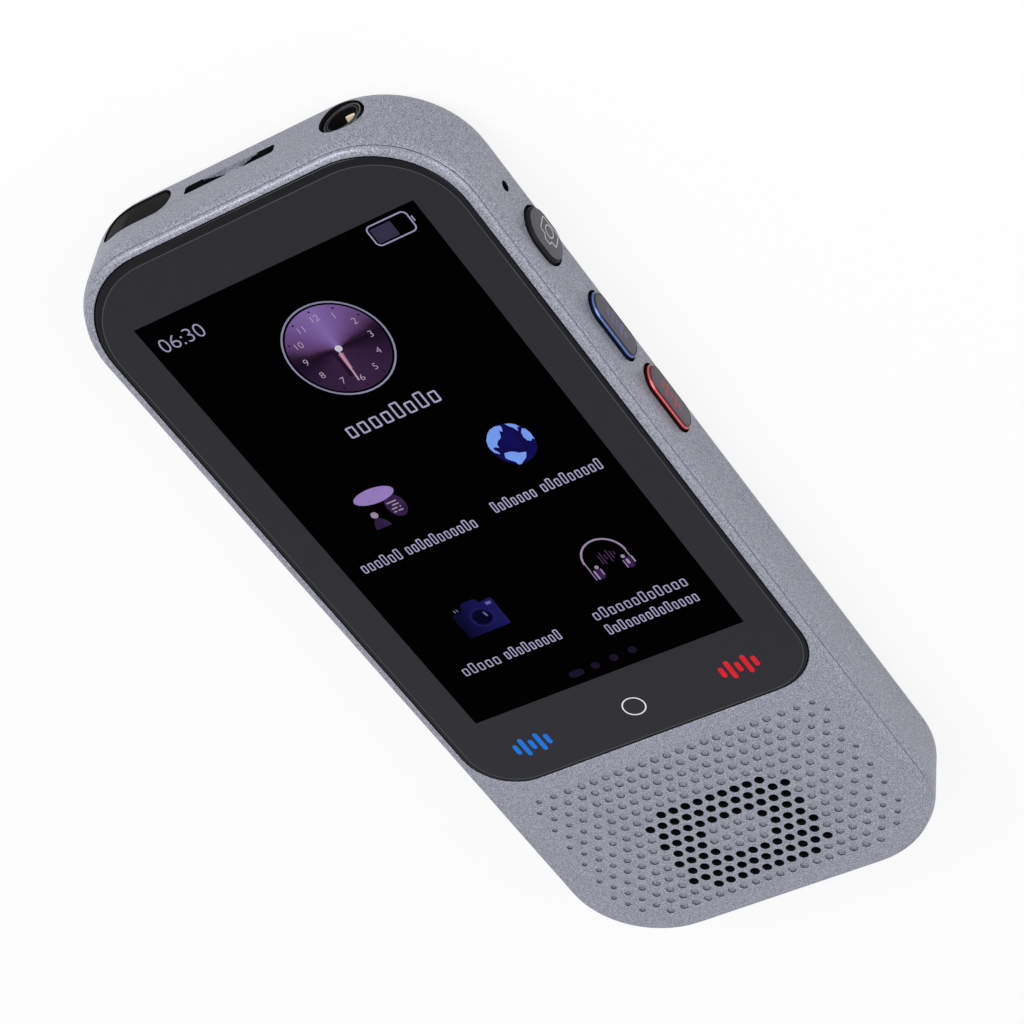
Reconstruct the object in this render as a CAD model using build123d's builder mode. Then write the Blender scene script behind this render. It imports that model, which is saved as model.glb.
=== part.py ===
from build123d import *
from math import pi, sin
import os

# Handheld voice translator, lying on its back: +X to its right-hand side, +Y to the
# end with the headphone socket, +Z out of the front. The origin is the middle of the
# footprint, on the back face. All sizes are in millimetres.

os.makedirs("parts", exist_ok=True)

# --- Driving dimensions -------------------------------------------------------
body_width = 51.0
body_length = 123.1
body_height = 11.2
corner_radius = 12.3        # of the outline, seen from the front
back_edge_radius = 2.8      # round between back face and side wall
shoulder_radius = 2.6       # gentle turn of the side wall towards the front
wall = 1.6                  # side wall of the back shell
floor = 1.2                 # back wall of the back shell
feature_height = 4.9        # height of keys, sockets and microphone on the walls

front_inset = 0.45          # front cover's edge, in from the widest outline
front_edge_bevel = 0.5
seam_gap = 0.15             # open line between front cover and back shell
front_edge_height = 0.55    # visible thickness of the front cover's edge
skirt_inset = 0.9           # part of the front cover that drops inside the back shell
lip_inset = 0.8             # inner side of the back shell's upper lip
ledge_height = 9.25         # underside of the front cover's ledge, top of the chassis

glass_width = 47.9
glass_bottom = -28.95
glass_top = 60.15
glass_top_radius = 11.2
glass_bottom_radius = 6.9
glass_thickness = 0.75
glass_gap = 0.08
adhesive_thickness = 0.2
adhesive_inset = 0.3        # in from the glass's edge
glass_bevel_width = 0.8
glass_bevel_drop = 0.2

window_width = 43.4         # opening in the ledge that the display comes through
window_bottom = -24.0
window_top = 56.6
window_radius = 3.0

hole_pitch = 1.76           # speaker holes; every second row is shifted by half a pitch
row_pitch = 1.76
hole_radius = 0.62
facet_sides = 8             # holes, screws and posts this small are octagons
speaker_y = -48.45
grille_thickness = 1.2
# rows of the hexagonal ring: row number -> first and last hole, in pitches from the middle
ring_rows = {0: (3, 5), 1: (2.5, 5.5), 2: (0, 5), 3: (0.5, 5.5), 4: (0, 4)}

key_gap = 0.3               # between a key and its opening
key_travel = 0.3
talk_key_length = 10.0      # opening of the two talk keys
talk_key_height = 4.4
talk_key_proud = 0.6        # how far the cap stands out of the wall
blue_key_y = 23.5
red_key_y = 11.75
rim_bevel = 0.3
rim_width = 0.4
camera_key_length = 7.7
camera_key_height = 5.9
camera_key_proud = 0.5
camera_key_y = 37.75
power_key_x = -13.25        # the power key wraps round the corner
power_key_length = 10.2
power_key_height = 4.1
power_key_level = 4.35
power_key_sunk = 0.15
ear_thickness = 0.8         # inner flange that keeps a key from falling out
ear_reach = 0.8
ear_play = 0.05

side_mic_y = 45.3
mic_hole_radius = 0.65

jack_x = 14.8
jack_level = 4.7
jack_hole_radius = 2.7
jack_collar_radius = 2.45
jack_bore_radius = 1.8
jack_depth = 13.7
jack_sunk = 0.5

usb_width = 8.94
usb_height = 3.26
usb_depth = 7.4
usb_gap = 0.1

slot_width = 12.2           # lanyard slot
slot_height = 1.45
slot_corner = 0.4
slot_level = 4.83
strap_bar_root = 7.4        # strap bar: a ramp that narrows inwards to a post
strap_bar_tip = 2.4
strap_bar_depth = 0.65      # where the post starts, behind the face of the wall
pocket_depth = 5.6          # closed pocket behind the slot that the cord bends round in
pocket_height = 2.5
pocket_wall = 0.8

camera_y = 45.0
camera_ring_radius = 4.5
camera_glass_radius = 3.3
flash_x = 8.6
flash_radius = 1.7

usb_mic_x = usb_width       # microphone beside the charging socket
usb_mic_radius = 0.5

snap_level = 9.75           # tabs of the front cover in grooves of the back cover
snap_tab_length = 4.0
snap_tab_height = 0.6
snap_depth = 0.25

display_width = 39.8
display_bottom = -20.4
display_top = 55.0
driver_glass_extra = 1.8    # by which the display's lower glass is longer
upper_glass_thickness = 0.55
backlight_top = 9.45
backlight_bottom = 8.15
backlight_margin = 0.5      # of the backlight's frame round the display
backlight_bevel = 0.25

battery_x = -2.5
battery_y = -2.0
battery_width = 38.0
battery_length = 62.0
battery_bottom = 1.7
battery_top = 6.7
battery_rib_thickness = 0.8
battery_rib_height = 3.0

driver_width = 24.0         # speaker
driver_length = 18.0
driver_corner = 3.0
driver_top = 9.3
driver_bottom = 6.75

board_top = 6.4
board_thickness = 0.8
board_right = 20.0
board_left = -21.6
board_low_y = 30.5
board_high_y = 55.3
chassis_floor = 7.15
chassis_plate = 0.9
chassis_inset = 1.9
post_radius = 1.6
post_places = [(-17.5, 34.5), (17.5, 34.5), (-18.3, 50.0), (8.8, 50.8)]

screw_radius = 0.7
screw_head_radius = 1.25
screw_head_height = 0.6
screw_hole_radius = 0.8
chassis_screw_places = [
    (-22.3, 46.0), (-22.3, 0.0), (22.3, 48.6), (22.3, 0.0), (-19.0, -54.0), (19.0, -54.0)
]
foot_places = [(-11.5, -41.0), (11.5, -41.0), (-11.5, -54.0), (11.5, -54.0)]
foot_radius = 1.8
bottom_board_thickness = 0.8

# --- Values that follow from them ---------------------------------------------
half_width = body_width / 2
half_length = body_length / 2
front_edge_bottom = body_height - front_edge_height
shell_top = front_edge_bottom - seam_gap
inner_x = half_width - wall
inner_y = half_length - wall
glass_underside = body_height - glass_thickness
ledge_top = glass_underside - adhesive_thickness
glass_middle = (glass_top + glass_bottom) / 2
glass_length = glass_top - glass_bottom
grille_underside = body_height - grille_thickness
ear_outer_x = inner_x - ear_play
ear_inner_x = ear_outer_x - ear_thickness
bottom_board_top = feature_height - usb_height / 2
bottom_board_bottom = bottom_board_top - bottom_board_thickness
board_bottom = board_top - board_thickness
display_middle = (display_top + display_bottom) / 2
display_length = display_top - display_bottom
backlight_middle = display_middle - driver_glass_extra / 2
backlight_width = display_width + 2 * backlight_margin
backlight_length = display_length + driver_glass_extra + 2 * backlight_margin
battery_end = battery_y + battery_length / 2


# --- Profiles that several pieces share ---------------------------------------
def body_outline(inset, mode=Mode.ADD):
    """The outline seen from the front, moved inwards by inset."""
    return RectangleRounded(
        body_width - 2 * inset, body_length - 2 * inset, corner_radius - inset, mode=mode
    )


def glass_outline(grow):
    """The glass's outline: the whole length with the top corners' radius, squared
    off again at the bottom by a shorter piece with the tighter radius."""
    width = glass_width + 2 * grow
    with Locations((0, glass_middle)):
        RectangleRounded(width, glass_length + 2 * grow, glass_top_radius + grow)
    with Locations((0, glass_bottom - grow)):
        RectangleRounded(
            width, glass_length / 2, glass_bottom_radius + grow,
            align=(Align.CENTER, Align.MIN),
        )


def window_outline(mode=Mode.ADD):
    """The opening that the display comes through."""
    with Locations((0, (window_top + window_bottom) / 2)):
        RectangleRounded(window_width, window_top - window_bottom, window_radius, mode=mode)


def small_round(radius, mode=Mode.ADD):
    """A polygon that stands for a small circle and keeps its area."""
    corner_angle = 2 * pi / facet_sides
    corner_distance = radius * (2 * pi / facet_sides / sin(corner_angle)) ** 0.5
    return RegularPolygon(corner_distance, facet_sides, mode=mode)


def speaker_holes():
    """Centres of the open holes, row by row."""
    places = []
    for row in range(-4, 5):
        first, last = ring_rows[abs(row)]
        for step in range(int(last - first) + 1):
            x = (first + step) * hole_pitch
            y = speaker_y + row * row_pitch
            places.append((x, y))
            if x > 0:
                places.append((-x, y))
    return places


def save(part, name):
    part.label = name
    export_step(part, f"parts/{name}.step")


# --- Back cover: the deep shell with the side walls ---------------------------
shoulder_top = shell_top + shoulder_radius - (
    shoulder_radius ** 2 - (shoulder_radius - front_inset) ** 2
) ** 0.5
cut_start = 1.0             # cuts through a wall start this far inside it
cut_length = 4.0
wall_right = Plane.YZ.offset(inner_x - cut_start)       # sketch x is Y, sketch y is Z
wall_top = Plane.XZ.offset(-(inner_y - cut_start))      # sketch x is X, sketch y is Z
wall_bottom = Plane.XZ.offset(inner_y - cut_start)
corner_cut_start = 1.5      # two of the openings run into the round corners
snap_places = [(side, y) for side in (-1, 1) for y in (-44, -4, 36)]
pocket_overlap = 0.4        # by which the pocket's walls run into the top wall
strap_bar_sunk = 0.15
strap_ramp_rise = 0.1       # of the ramp over the slot's lower wall
strap_post_thickness = 0.9
strap_ramp_start = half_length - strap_bar_sunk
strap_post_start = half_length - strap_bar_depth
seat_clearance = 0.02       # round the camera's ring and the flash's lens
rib_offset_x = (battery_width + battery_rib_thickness) / 2
rib_offset_y = (battery_length + battery_rib_thickness) / 2

with BuildPart() as back_cover:
    with BuildSketch():
        body_outline(0)
    extrude(amount=shoulder_top)
    fillet(back_cover.edges().group_by(Axis.Z)[0], back_edge_radius)
    fillet(back_cover.edges().group_by(Axis.Z)[-1], shoulder_radius)
    with BuildSketch(Plane.XY.offset(shell_top)):
        body_outline(0)
    extrude(amount=shoulder_radius, mode=Mode.SUBTRACT)
    # inside of the shell, then the wider seat for the front cover's skirt
    with BuildSketch(Plane.XY.offset(floor)):
        body_outline(wall)
    extrude(amount=body_height, mode=Mode.SUBTRACT)
    with BuildSketch(Plane.XY.offset(ledge_height - ear_play)):
        body_outline(lip_inset)
    extrude(amount=body_height, mode=Mode.SUBTRACT)
    # grooves that the front cover's snap tabs click into
    with Locations(*[(side * (half_width - lip_inset), y, snap_level) for side, y in snap_places]):
        Box(2 * snap_depth, snap_tab_length + 0.6, snap_tab_height + 0.2, mode=Mode.SUBTRACT)
    # lanyard pocket behind the top wall
    with Locations((0, inner_y + pocket_overlap, slot_level)):
        Box(
            slot_width + 2 * pocket_wall, pocket_depth, pocket_height + 2 * pocket_wall,
            align=(Align.CENTER, Align.MAX, Align.CENTER),
        )
        Box(
            slot_width, pocket_depth - pocket_wall, pocket_height,
            align=(Align.CENTER, Align.MAX, Align.CENTER), mode=Mode.SUBTRACT,
        )
    with BuildSketch(wall_top):
        with Locations((0, slot_level)):
            RectangleRounded(slot_width, slot_height, slot_corner)
    extrude(amount=-cut_length, mode=Mode.SUBTRACT)
    # openings for the keys and the microphone in the right-hand wall
    with BuildSketch(wall_right):
        for y in (blue_key_y, red_key_y):
            with Locations((y, feature_height)):
                SlotOverall(talk_key_length, talk_key_height)
        with Locations((camera_key_y, feature_height)):
            SlotOverall(camera_key_length, camera_key_height)
        with Locations((side_mic_y, feature_height)):
            Circle(mic_hole_radius)
    extrude(amount=cut_length, mode=Mode.SUBTRACT)
    # openings in the top wall: power key and headphone socket
    with BuildSketch(wall_top.offset(corner_cut_start)):
        with Locations((power_key_x, power_key_level)):
            SlotOverall(power_key_length, power_key_height)
        with Locations((jack_x, jack_level)):
            Circle(jack_hole_radius)
    extrude(amount=-cut_length - corner_cut_start, mode=Mode.SUBTRACT)
    # openings in the bottom wall: charging socket and microphone
    with BuildSketch(wall_bottom):
        with Locations((0, feature_height)):
            SlotOverall(usb_width + 2 * usb_gap, usb_height + 2 * usb_gap)
        with Locations((usb_mic_x, feature_height)):
            Circle(usb_mic_radius)
    extrude(amount=cut_length, mode=Mode.SUBTRACT)
    # rear camera and flash
    with Locations((0, camera_y, 0)):
        Cylinder(camera_ring_radius + seat_clearance, 4 * floor, mode=Mode.SUBTRACT)
    with Locations((flash_x, camera_y, 0)):
        Cylinder(flash_radius + seat_clearance, 4 * floor, mode=Mode.SUBTRACT)
    # ribs that hold the battery in place
    with Locations(*[(battery_x + side * rib_offset_x, battery_y, floor) for side in (-1, 1)]):
        Box(
            battery_rib_thickness, battery_length * 0.65, battery_rib_height,
            align=(Align.CENTER, Align.CENTER, Align.MIN),
        )
    with Locations(*[(battery_x, battery_y + end * rib_offset_y, floor) for end in (-1, 1)]):
        Box(
            battery_width / 2, battery_rib_thickness, battery_rib_height,
            align=(Align.CENTER, Align.CENTER, Align.MIN),
        )
    # feet that the bottom board is screwed to
    with BuildSketch(Plane.XY.offset(floor)):
        with Locations(*foot_places):
            small_round(foot_radius)
            small_round(screw_radius, Mode.SUBTRACT)
    extrude(amount=bottom_board_bottom - floor)
    # strap bar that the lanyard's cord goes behind: a ramp, then the post
    with BuildSketch(Plane.XY.offset(slot_level - slot_height / 2 - strap_ramp_rise)):
        with BuildLine():
            Polyline(
                (-strap_bar_root / 2, strap_ramp_start), (strap_bar_root / 2, strap_ramp_start),
                (strap_bar_tip / 2, strap_post_start), (-strap_bar_tip / 2, strap_post_start),
                close=True,
            )
        make_face()
    extrude(amount=2 * strap_ramp_rise)
    with Locations((0, strap_post_start, slot_level)):
        Box(
            strap_bar_tip, strap_post_thickness, pocket_height + pocket_wall,
            align=(Align.CENTER, Align.MAX, Align.CENTER),
        )
save(back_cover.part, "back_cover")

# --- Front cover: window, ledge and speaker grille ----------------------------
grille_margin = 3.0         # of the thinner wall round the speaker
pilot_depth = 0.8           # blind holes for the chassis screws

with BuildPart() as front_cover:
    with BuildSketch(Plane.XY.offset(front_edge_bottom)):
        body_outline(front_inset)
    extrude(amount=front_edge_height)
    chamfer(front_cover.edges().group_by(Axis.Z)[-1], front_edge_bevel)
    with BuildSketch(Plane.XY.offset(ledge_height)):
        body_outline(skirt_inset)
    extrude(amount=front_edge_bottom - ledge_height)
    # recess for the glass, and the window under it
    with BuildSketch(Plane.XY.offset(ledge_top)):
        glass_outline(glass_gap)
    extrude(amount=body_height, mode=Mode.SUBTRACT)
    with BuildSketch(Plane.XY.offset(ledge_height)):
        window_outline()
    extrude(amount=body_height, mode=Mode.SUBTRACT)
    # thinner wall behind the speaker holes
    with BuildSketch(Plane.XY.offset(ledge_height)):
        with Locations((0, speaker_y)):
            Rectangle(driver_width + 2 * grille_margin, driver_length + 4)
    extrude(amount=grille_underside - ledge_height, mode=Mode.SUBTRACT)
    with BuildSketch(Plane.XY.offset(body_height)):
        with Locations(*speaker_holes()):
            small_round(hole_radius)
    extrude(amount=-2 * grille_thickness, mode=Mode.SUBTRACT)
    # blind holes for the chassis screws
    with BuildSketch(Plane.XY.offset(ledge_height)):
        with Locations(*chassis_screw_places):
            small_round(screw_radius)
    extrude(amount=pilot_depth, mode=Mode.SUBTRACT)
    # snap tabs
    with Locations(
        *[(side * (half_width - skirt_inset), y, snap_level) for side, y in snap_places]
    ):
        Box(2 * snap_depth, snap_tab_length, snap_tab_height)
save(front_cover.part, "front_cover")

# --- Cover glass, its adhesive frame and the display --------------------------
with BuildPart() as cover_glass:
    with BuildSketch(Plane.XY.offset(glass_underside)):
        glass_outline(0)
    extrude(amount=glass_thickness)
    front_face = cover_glass.faces().sort_by(Axis.Z)[-1]
    chamfer(
        front_face.edges(), glass_bevel_width, glass_bevel_drop, reference=front_face
    )
save(cover_glass.part, "cover_glass")

with BuildPart() as glass_adhesive:
    with BuildSketch(Plane.XY.offset(ledge_top)):
        glass_outline(-adhesive_inset)
        window_outline(Mode.SUBTRACT)
    extrude(amount=adhesive_thickness)
save(glass_adhesive.part, "glass_adhesive")

with BuildPart() as display_panel:
    # colour filter glass over a slightly longer driver glass
    with Locations((0, display_middle, glass_underside)):
        Box(
            display_width, display_length, upper_glass_thickness,
            align=(Align.CENTER, Align.CENTER, Align.MAX),
        )
    with Locations((0, backlight_middle, backlight_top)):
        Box(
            display_width, display_length + driver_glass_extra,
            glass_underside - upper_glass_thickness - backlight_top,
            align=(Align.CENTER, Align.CENTER, Align.MIN),
        )
save(display_panel.part, "display_panel")

with BuildPart() as backlight:
    with BuildSketch(Plane.XY.offset(backlight_bottom)):
        with Locations((0, backlight_middle)):
            Rectangle(backlight_width, backlight_length)
    extrude(amount=backlight_top - backlight_bottom)
    chamfer(backlight.edges().group_by(Axis.Z)[0], backlight_bevel)
save(backlight.part, "backlight")

# --- Chassis: moulded frame that carries display, battery, board and speaker --
well_clearance = 0.3        # round the backlight
speaker_clearance = 0.2
well_bottom = chassis_floor + chassis_plate
key_bay_length = 42.0       # room for the keys and their flex at the right-hand wall
key_bay_middle = 26.6
key_bay_depth = 4.1
key_bay_height = 1.3
flex_width = 8.0            # of the display's flex
flex_bay_y = 55.7

with BuildPart() as chassis:
    with BuildSketch(Plane.XY.offset(chassis_floor)):
        body_outline(chassis_inset)
    extrude(amount=ledge_height - chassis_floor)
    # well for the display
    with BuildSketch(Plane.XY.offset(well_bottom)):
        with Locations((0, backlight_middle)):
            Rectangle(
                backlight_width + 2 * well_clearance, backlight_length + 2 * well_clearance
            )
    extrude(amount=ledge_height - well_bottom, mode=Mode.SUBTRACT)
    # opening for the speaker
    with BuildSketch(Plane.XY.offset(chassis_floor)):
        with Locations((0, speaker_y)):
            RectangleRounded(
                driver_width + 2 * speaker_clearance, driver_length + 2 * speaker_clearance,
                driver_corner + speaker_clearance,
            )
    extrude(amount=ledge_height - chassis_floor, mode=Mode.SUBTRACT)
    # lightened on both sides of the speaker
    with BuildSketch(Plane.XY.offset(well_bottom)):
        with Locations((-16.6, speaker_y), (16.6, speaker_y)):
            Rectangle(5.0, 9.0)
    extrude(amount=ledge_height - well_bottom, mode=Mode.SUBTRACT)
    with Locations((half_width, key_bay_middle, chassis_floor)):
        Box(
            2 * key_bay_depth, key_bay_length, key_bay_height,
            align=(Align.CENTER, Align.CENTER, Align.MIN), mode=Mode.SUBTRACT,
        )
    # gap for the display's flex at the top end
    with Locations((power_key_x, flex_bay_y, chassis_floor)):
        Box(
            flex_width + 2, body_height, body_height,
            align=(Align.CENTER, Align.MIN, Align.MIN), mode=Mode.SUBTRACT,
        )
    # posts that the main board is screwed to
    with BuildSketch(Plane.XY.offset(board_top)):
        with Locations(*post_places):
            small_round(post_radius)
    extrude(amount=chassis_floor - board_top)
    with BuildSketch(Plane.XY.offset(board_top)):
        with Locations(*post_places):
            small_round(screw_radius)
    extrude(amount=well_bottom - board_top - 0.3, mode=Mode.SUBTRACT)
    with BuildSketch(Plane.XY.offset(board_top)):
        with Locations(*chassis_screw_places):
            small_round(screw_hole_radius)
    extrude(amount=body_height, mode=Mode.SUBTRACT)
save(chassis.part, "chassis")


def screws(places, head_level, shank_length, up=1):
    """Flat-head screws seated at head_level; up is the way their shanks point."""
    with BuildPart() as group:
        with BuildSketch(Plane.XY.offset(head_level)):
            with Locations(*places):
                small_round(screw_radius)
        extrude(amount=up * shank_length)
        with BuildSketch(Plane.XY.offset(head_level)):
            with Locations(*places):
                small_round(screw_head_radius)
        extrude(amount=-up * screw_head_height)
    return group.part


save(
    screws(chassis_screw_places, chassis_floor, ledge_height - chassis_floor + 0.7),
    "chassis_screws",
)

# --- Main board and what is soldered to it ------------------------------------
board_edge_inset = 2.4
jack_notch_y = 46.6
jack_notch_width = 6.5
pocket_notch_gap = 0.3

with BuildPart() as main_board:
    with BuildSketch(Plane.XY.offset(board_bottom)):
        with Locations((board_right, board_low_y)):
            Rectangle(
                board_right - board_left, board_high_y - board_low_y,
                align=(Align.MAX, Align.MIN),
            )
        body_outline(board_edge_inset, mode=Mode.INTERSECT)
        # clear of the headphone socket and of the lanyard pocket
        with Locations((jack_x, jack_notch_y)):
            Rectangle(
                jack_notch_width, board_high_y, align=(Align.CENTER, Align.MIN),
                mode=Mode.SUBTRACT,
            )
        with Locations((0, inner_y + pocket_overlap - pocket_depth - pocket_notch_gap)):
            Rectangle(
                slot_width + 2 * pocket_wall + 2 * pocket_notch_gap, pocket_depth,
                align=(Align.CENTER, Align.MIN), mode=Mode.SUBTRACT,
            )
        with Locations(*post_places):
            small_round(screw_hole_radius, Mode.SUBTRACT)
    extrude(amount=board_thickness)
save(main_board.part, "main_board")

save(screws(post_places, board_bottom, chassis_floor - board_bottom), "board_screws")

can_height = 1.7
can_bevel = 0.3
with BuildPart() as shield_cans:
    with BuildSketch(Plane.XY.offset(board_bottom)):
        with Locations((-12.0, 42.2)):
            Rectangle(12.4, 10.6)
        with Locations((9.2, 37.2)):
            Rectangle(9.0, 8.0)
    extrude(amount=-can_height)
    chamfer(shield_cans.edges().group_by(Axis.Z)[0], can_bevel)
save(shield_cans.part, "shield_cans")

stem_y = 55.2               # where the power key's switch stem ends
stem_length = 0.3
stem_radius = 0.8
with BuildPart() as power_switch:
    with Locations((power_key_x, stem_y - stem_length, board_bottom)):
        Box(4.6, 1.8, 3.2, align=(Align.CENTER, Align.MAX, Align.MAX))
    with BuildSketch(Plane.XZ.offset(-(stem_y - stem_length))):
        with Locations((power_key_x, power_key_level)):
            small_round(stem_radius)
    extrude(amount=-stem_length)
save(power_switch.part, "power_switch")

with BuildPart() as antenna_flex:
    with Locations((-inner_x, 28.0, 4.5)):
        Box(0.2, 32.0, 3.8, align=(Align.MIN, Align.CENTER, Align.CENTER))
save(antenna_flex.part, "antenna_flex")

flex_thickness = 0.15
flex_y = 57.8
flex_level = 8.75
backlight_end = backlight_middle + backlight_length / 2
with BuildPart() as display_flex:
    # from the backlight's top edge, round the chassis and on to the main board
    with Locations((power_key_x, flex_y, board_top)):
        Box(
            flex_width, flex_thickness, flex_level + flex_thickness - board_top,
            align=(Align.CENTER, Align.MAX, Align.MIN),
        )
    for low_y, level in ((board_high_y - 1.8, board_top), (backlight_end, flex_level)):
        with Locations((power_key_x, flex_y, level)):
            Box(
                flex_width, flex_y - low_y, flex_thickness,
                align=(Align.CENTER, Align.MAX, Align.MIN),
            )
save(display_flex.part, "display_flex")

# --- Battery -------------------------------------------------------------------
battery_bevel = 0.9
lead_level = 5.0
lead_length = 3.0
lead_x = -12.0

with BuildPart() as battery:
    with BuildSketch(Plane.XY.offset(battery_bottom)):
        with Locations((battery_x, battery_y)):
            Rectangle(battery_width, battery_length)
    extrude(amount=battery_top - battery_bottom)
    chamfer(battery.edges().group_by(Axis.Z)[0], battery_bevel)
    chamfer(battery.edges().group_by(Axis.Z)[-1], battery_bevel)
save(battery.part, "battery")

with BuildPart() as battery_tape:
    with Locations(*[(battery_x, battery_y + dy, battery_top) for dy in (-18, 18)]):
        Box(
            32, 12, chassis_floor - battery_top, align=(Align.CENTER, Align.CENTER, Align.MIN)
        )
save(battery_tape.part, "battery_tape")

with BuildPart() as battery_lead:
    with BuildSketch(Plane.XZ.offset(-battery_end)):
        with Locations((lead_x - 0.6, lead_level), (lead_x + 0.6, lead_level)):
            small_round(0.4)
    extrude(amount=-lead_length)
    with Locations((lead_x, battery_end + lead_length, board_bottom)):
        Box(5.0, 2.2, 1.2, align=(Align.CENTER, Align.MIN, Align.MAX))
save(battery_lead.part, "battery_lead")

# --- Speaker --------------------------------------------------------------------
gasket_top = 9.85
gasket_width = 1.2
cone_depth = 0.9
with BuildPart() as speaker_driver:
    with BuildSketch(Plane.XY.offset(driver_bottom)):
        with Locations((0, speaker_y)):
            RectangleRounded(driver_width, driver_length, driver_corner)
    extrude(amount=driver_top - driver_bottom)
    # cone: a dished surround with a raised dome
    with BuildSketch(Plane.XY.offset(driver_top)):
        with Locations((0, speaker_y)):
            SlotOverall(driver_width - 4, driver_length - 4)
    extrude(amount=-cone_depth, taper=35, mode=Mode.SUBTRACT)
    with BuildSketch(Plane.XY.offset(driver_top - cone_depth)):
        with Locations((0, speaker_y)):
            SlotOverall(12, 7)
    extrude(amount=0.6, taper=40)
save(speaker_driver.part, "speaker_driver")

with BuildPart() as speaker_gasket:
    with BuildSketch(Plane.XY.offset(driver_top)):
        with Locations((0, speaker_y)):
            RectangleRounded(driver_width, driver_length, driver_corner)
            RectangleRounded(
                driver_width - 2 * gasket_width, driver_length - 2 * gasket_width,
                driver_corner - gasket_width, mode=Mode.SUBTRACT,
            )
    extrude(amount=gasket_top - driver_top)
save(speaker_gasket.part, "speaker_gasket")

with BuildPart() as speaker_mesh:
    with BuildSketch(Plane.XY.offset(gasket_top)):
        with Locations((0, speaker_y)):
            RectangleRounded(driver_width + 1, driver_length + 1, driver_corner)
    extrude(amount=grille_underside - gasket_top)
save(speaker_mesh.part, "speaker_mesh")

# --- Bottom board with the charging socket --------------------------------------
usb_mouth_y = -(half_length - 0.1)
with BuildPart() as bottom_board:
    with BuildSketch(Plane.XY.offset(bottom_board_bottom)):
        with Locations((0, -48.0)):
            Rectangle(28.0, 21.6)
        with Locations(*foot_places):
            small_round(screw_hole_radius, Mode.SUBTRACT)
    extrude(amount=bottom_board_thickness)
save(bottom_board.part, "bottom_board")

save(
    screws(foot_places, bottom_board_top, bottom_board_top - floor - 0.2, up=-1),
    "bottom_screws",
)

usb_shell_wall = 0.3
usb_back_wall = 1.0
usb_tongue_width = 6.7
usb_tongue_thickness = 0.7
usb_tongue_sunk = 0.6
usb_mouth = Plane.XZ.offset(-usb_mouth_y)
with BuildPart() as usb_c_socket:
    with BuildSketch(usb_mouth):
        with Locations((0, feature_height)):
            SlotOverall(usb_width, usb_height)
    extrude(amount=-usb_depth)
    with BuildSketch(usb_mouth):
        with Locations((0, feature_height)):
            SlotOverall(usb_width - 2 * usb_shell_wall, usb_height - 2 * usb_shell_wall)
    extrude(amount=-(usb_depth - usb_back_wall), mode=Mode.SUBTRACT)
    with BuildSketch(usb_mouth.offset(-usb_tongue_sunk)):
        with Locations((0, feature_height)):
            Rectangle(usb_tongue_width, usb_tongue_thickness)
    extrude(amount=-(usb_depth - usb_back_wall))
save(usb_c_socket.part, "usb_c_socket")

mic_can_width = 3.4
mic_can_length = 2.6
mic_gap = 0.2               # between the microphone and the bottom wall
with BuildPart() as bottom_microphone:
    with Locations((usb_mic_x, -inner_y + mic_gap, bottom_board_top)):
        Box(
            mic_can_width, mic_can_length, mic_can_length,
            align=(Align.CENTER, Align.MIN, Align.MIN),
        )
    with BuildSketch(Plane.XZ.offset(inner_y)):
        with Locations((usb_mic_x, feature_height)):
            small_round(usb_mic_radius - 0.1)
    extrude(amount=-mic_can_length / 2, mode=Mode.SUBTRACT)
save(bottom_microphone.part, "bottom_microphone")

board_flex_x = 18.2
board_flex_width = 2.4
board_flex_low_y = -36.4
board_flex_high_y = 32.0
with BuildPart() as board_flex:
    # runs beside the battery from the main board down to the bottom board
    with Locations((board_flex_x, board_flex_low_y, board_top)):
        Box(
            board_flex_width, board_flex_high_y - board_flex_low_y, flex_thickness,
            align=(Align.CENTER, Align.MIN, Align.MIN),
        )
    with Locations((board_flex_x, board_flex_low_y, bottom_board_top)):
        Box(
            board_flex_width, flex_thickness, board_top - bottom_board_top,
            align=(Align.CENTER, Align.MIN, Align.MIN),
        )
    with Locations((board_flex_x + board_flex_width / 2, board_flex_low_y, bottom_board_top)):
        Box(
            4 * board_flex_width, 3.0, flex_thickness,
            align=(Align.MAX, Align.MAX, Align.MIN),
        )
save(board_flex.part, "board_flex")

# --- Headphone socket ------------------------------------------------------------
jack_body_front = half_length - chassis_inset
jack_body_back = 47.0
jack_body_width = 5.9
jack_body_height = 4.4
jack_mouth_y = half_length - jack_sunk
contact_places = [(0, 58.0), (90, 54.0), (180, 50.5)]    # angle round the bore, y
contact_width = 1.2
contact_length = 3.0
contact_thickness = 0.3
contact_radius = jack_bore_radius + 0.03
contact_slot_depth = 0.3    # cut inwards from the contact, so that it shows in the bore

with BuildPart() as headphone_jack:
    with BuildSketch(Plane.XZ.offset(-jack_body_front)):
        with Locations((jack_x, jack_level)):
            Rectangle(jack_body_width, jack_body_height)
    extrude(amount=jack_body_front - jack_body_back)
    # the body is trimmed where it meets the round corner's inside
    with BuildSketch():
        body_outline(wall + ear_play)
    extrude(amount=body_height, mode=Mode.INTERSECT)
    with BuildSketch(Plane.XZ.offset(-jack_body_front)):
        with Locations((jack_x, jack_level)):
            Circle(jack_collar_radius)
    extrude(amount=-(jack_mouth_y - jack_body_front))
    # the collar's face follows the corner of the case
    with BuildSketch():
        body_outline(jack_sunk)
    extrude(amount=body_height, mode=Mode.INTERSECT)
    with BuildSketch(Plane.XZ.offset(-jack_mouth_y)):
        with Locations((jack_x, jack_level)):
            Circle(jack_bore_radius)
    extrude(amount=jack_depth, mode=Mode.SUBTRACT)
    for angle, y in contact_places:
        with Locations(Location((jack_x, y, jack_level), (0, angle, 0))):
            with Locations((0, 0, contact_radius - contact_slot_depth)):
                Box(
                    contact_width, contact_length, contact_thickness + contact_slot_depth,
                    align=(Align.CENTER, Align.CENTER, Align.MIN), mode=Mode.SUBTRACT,
                )
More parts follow.
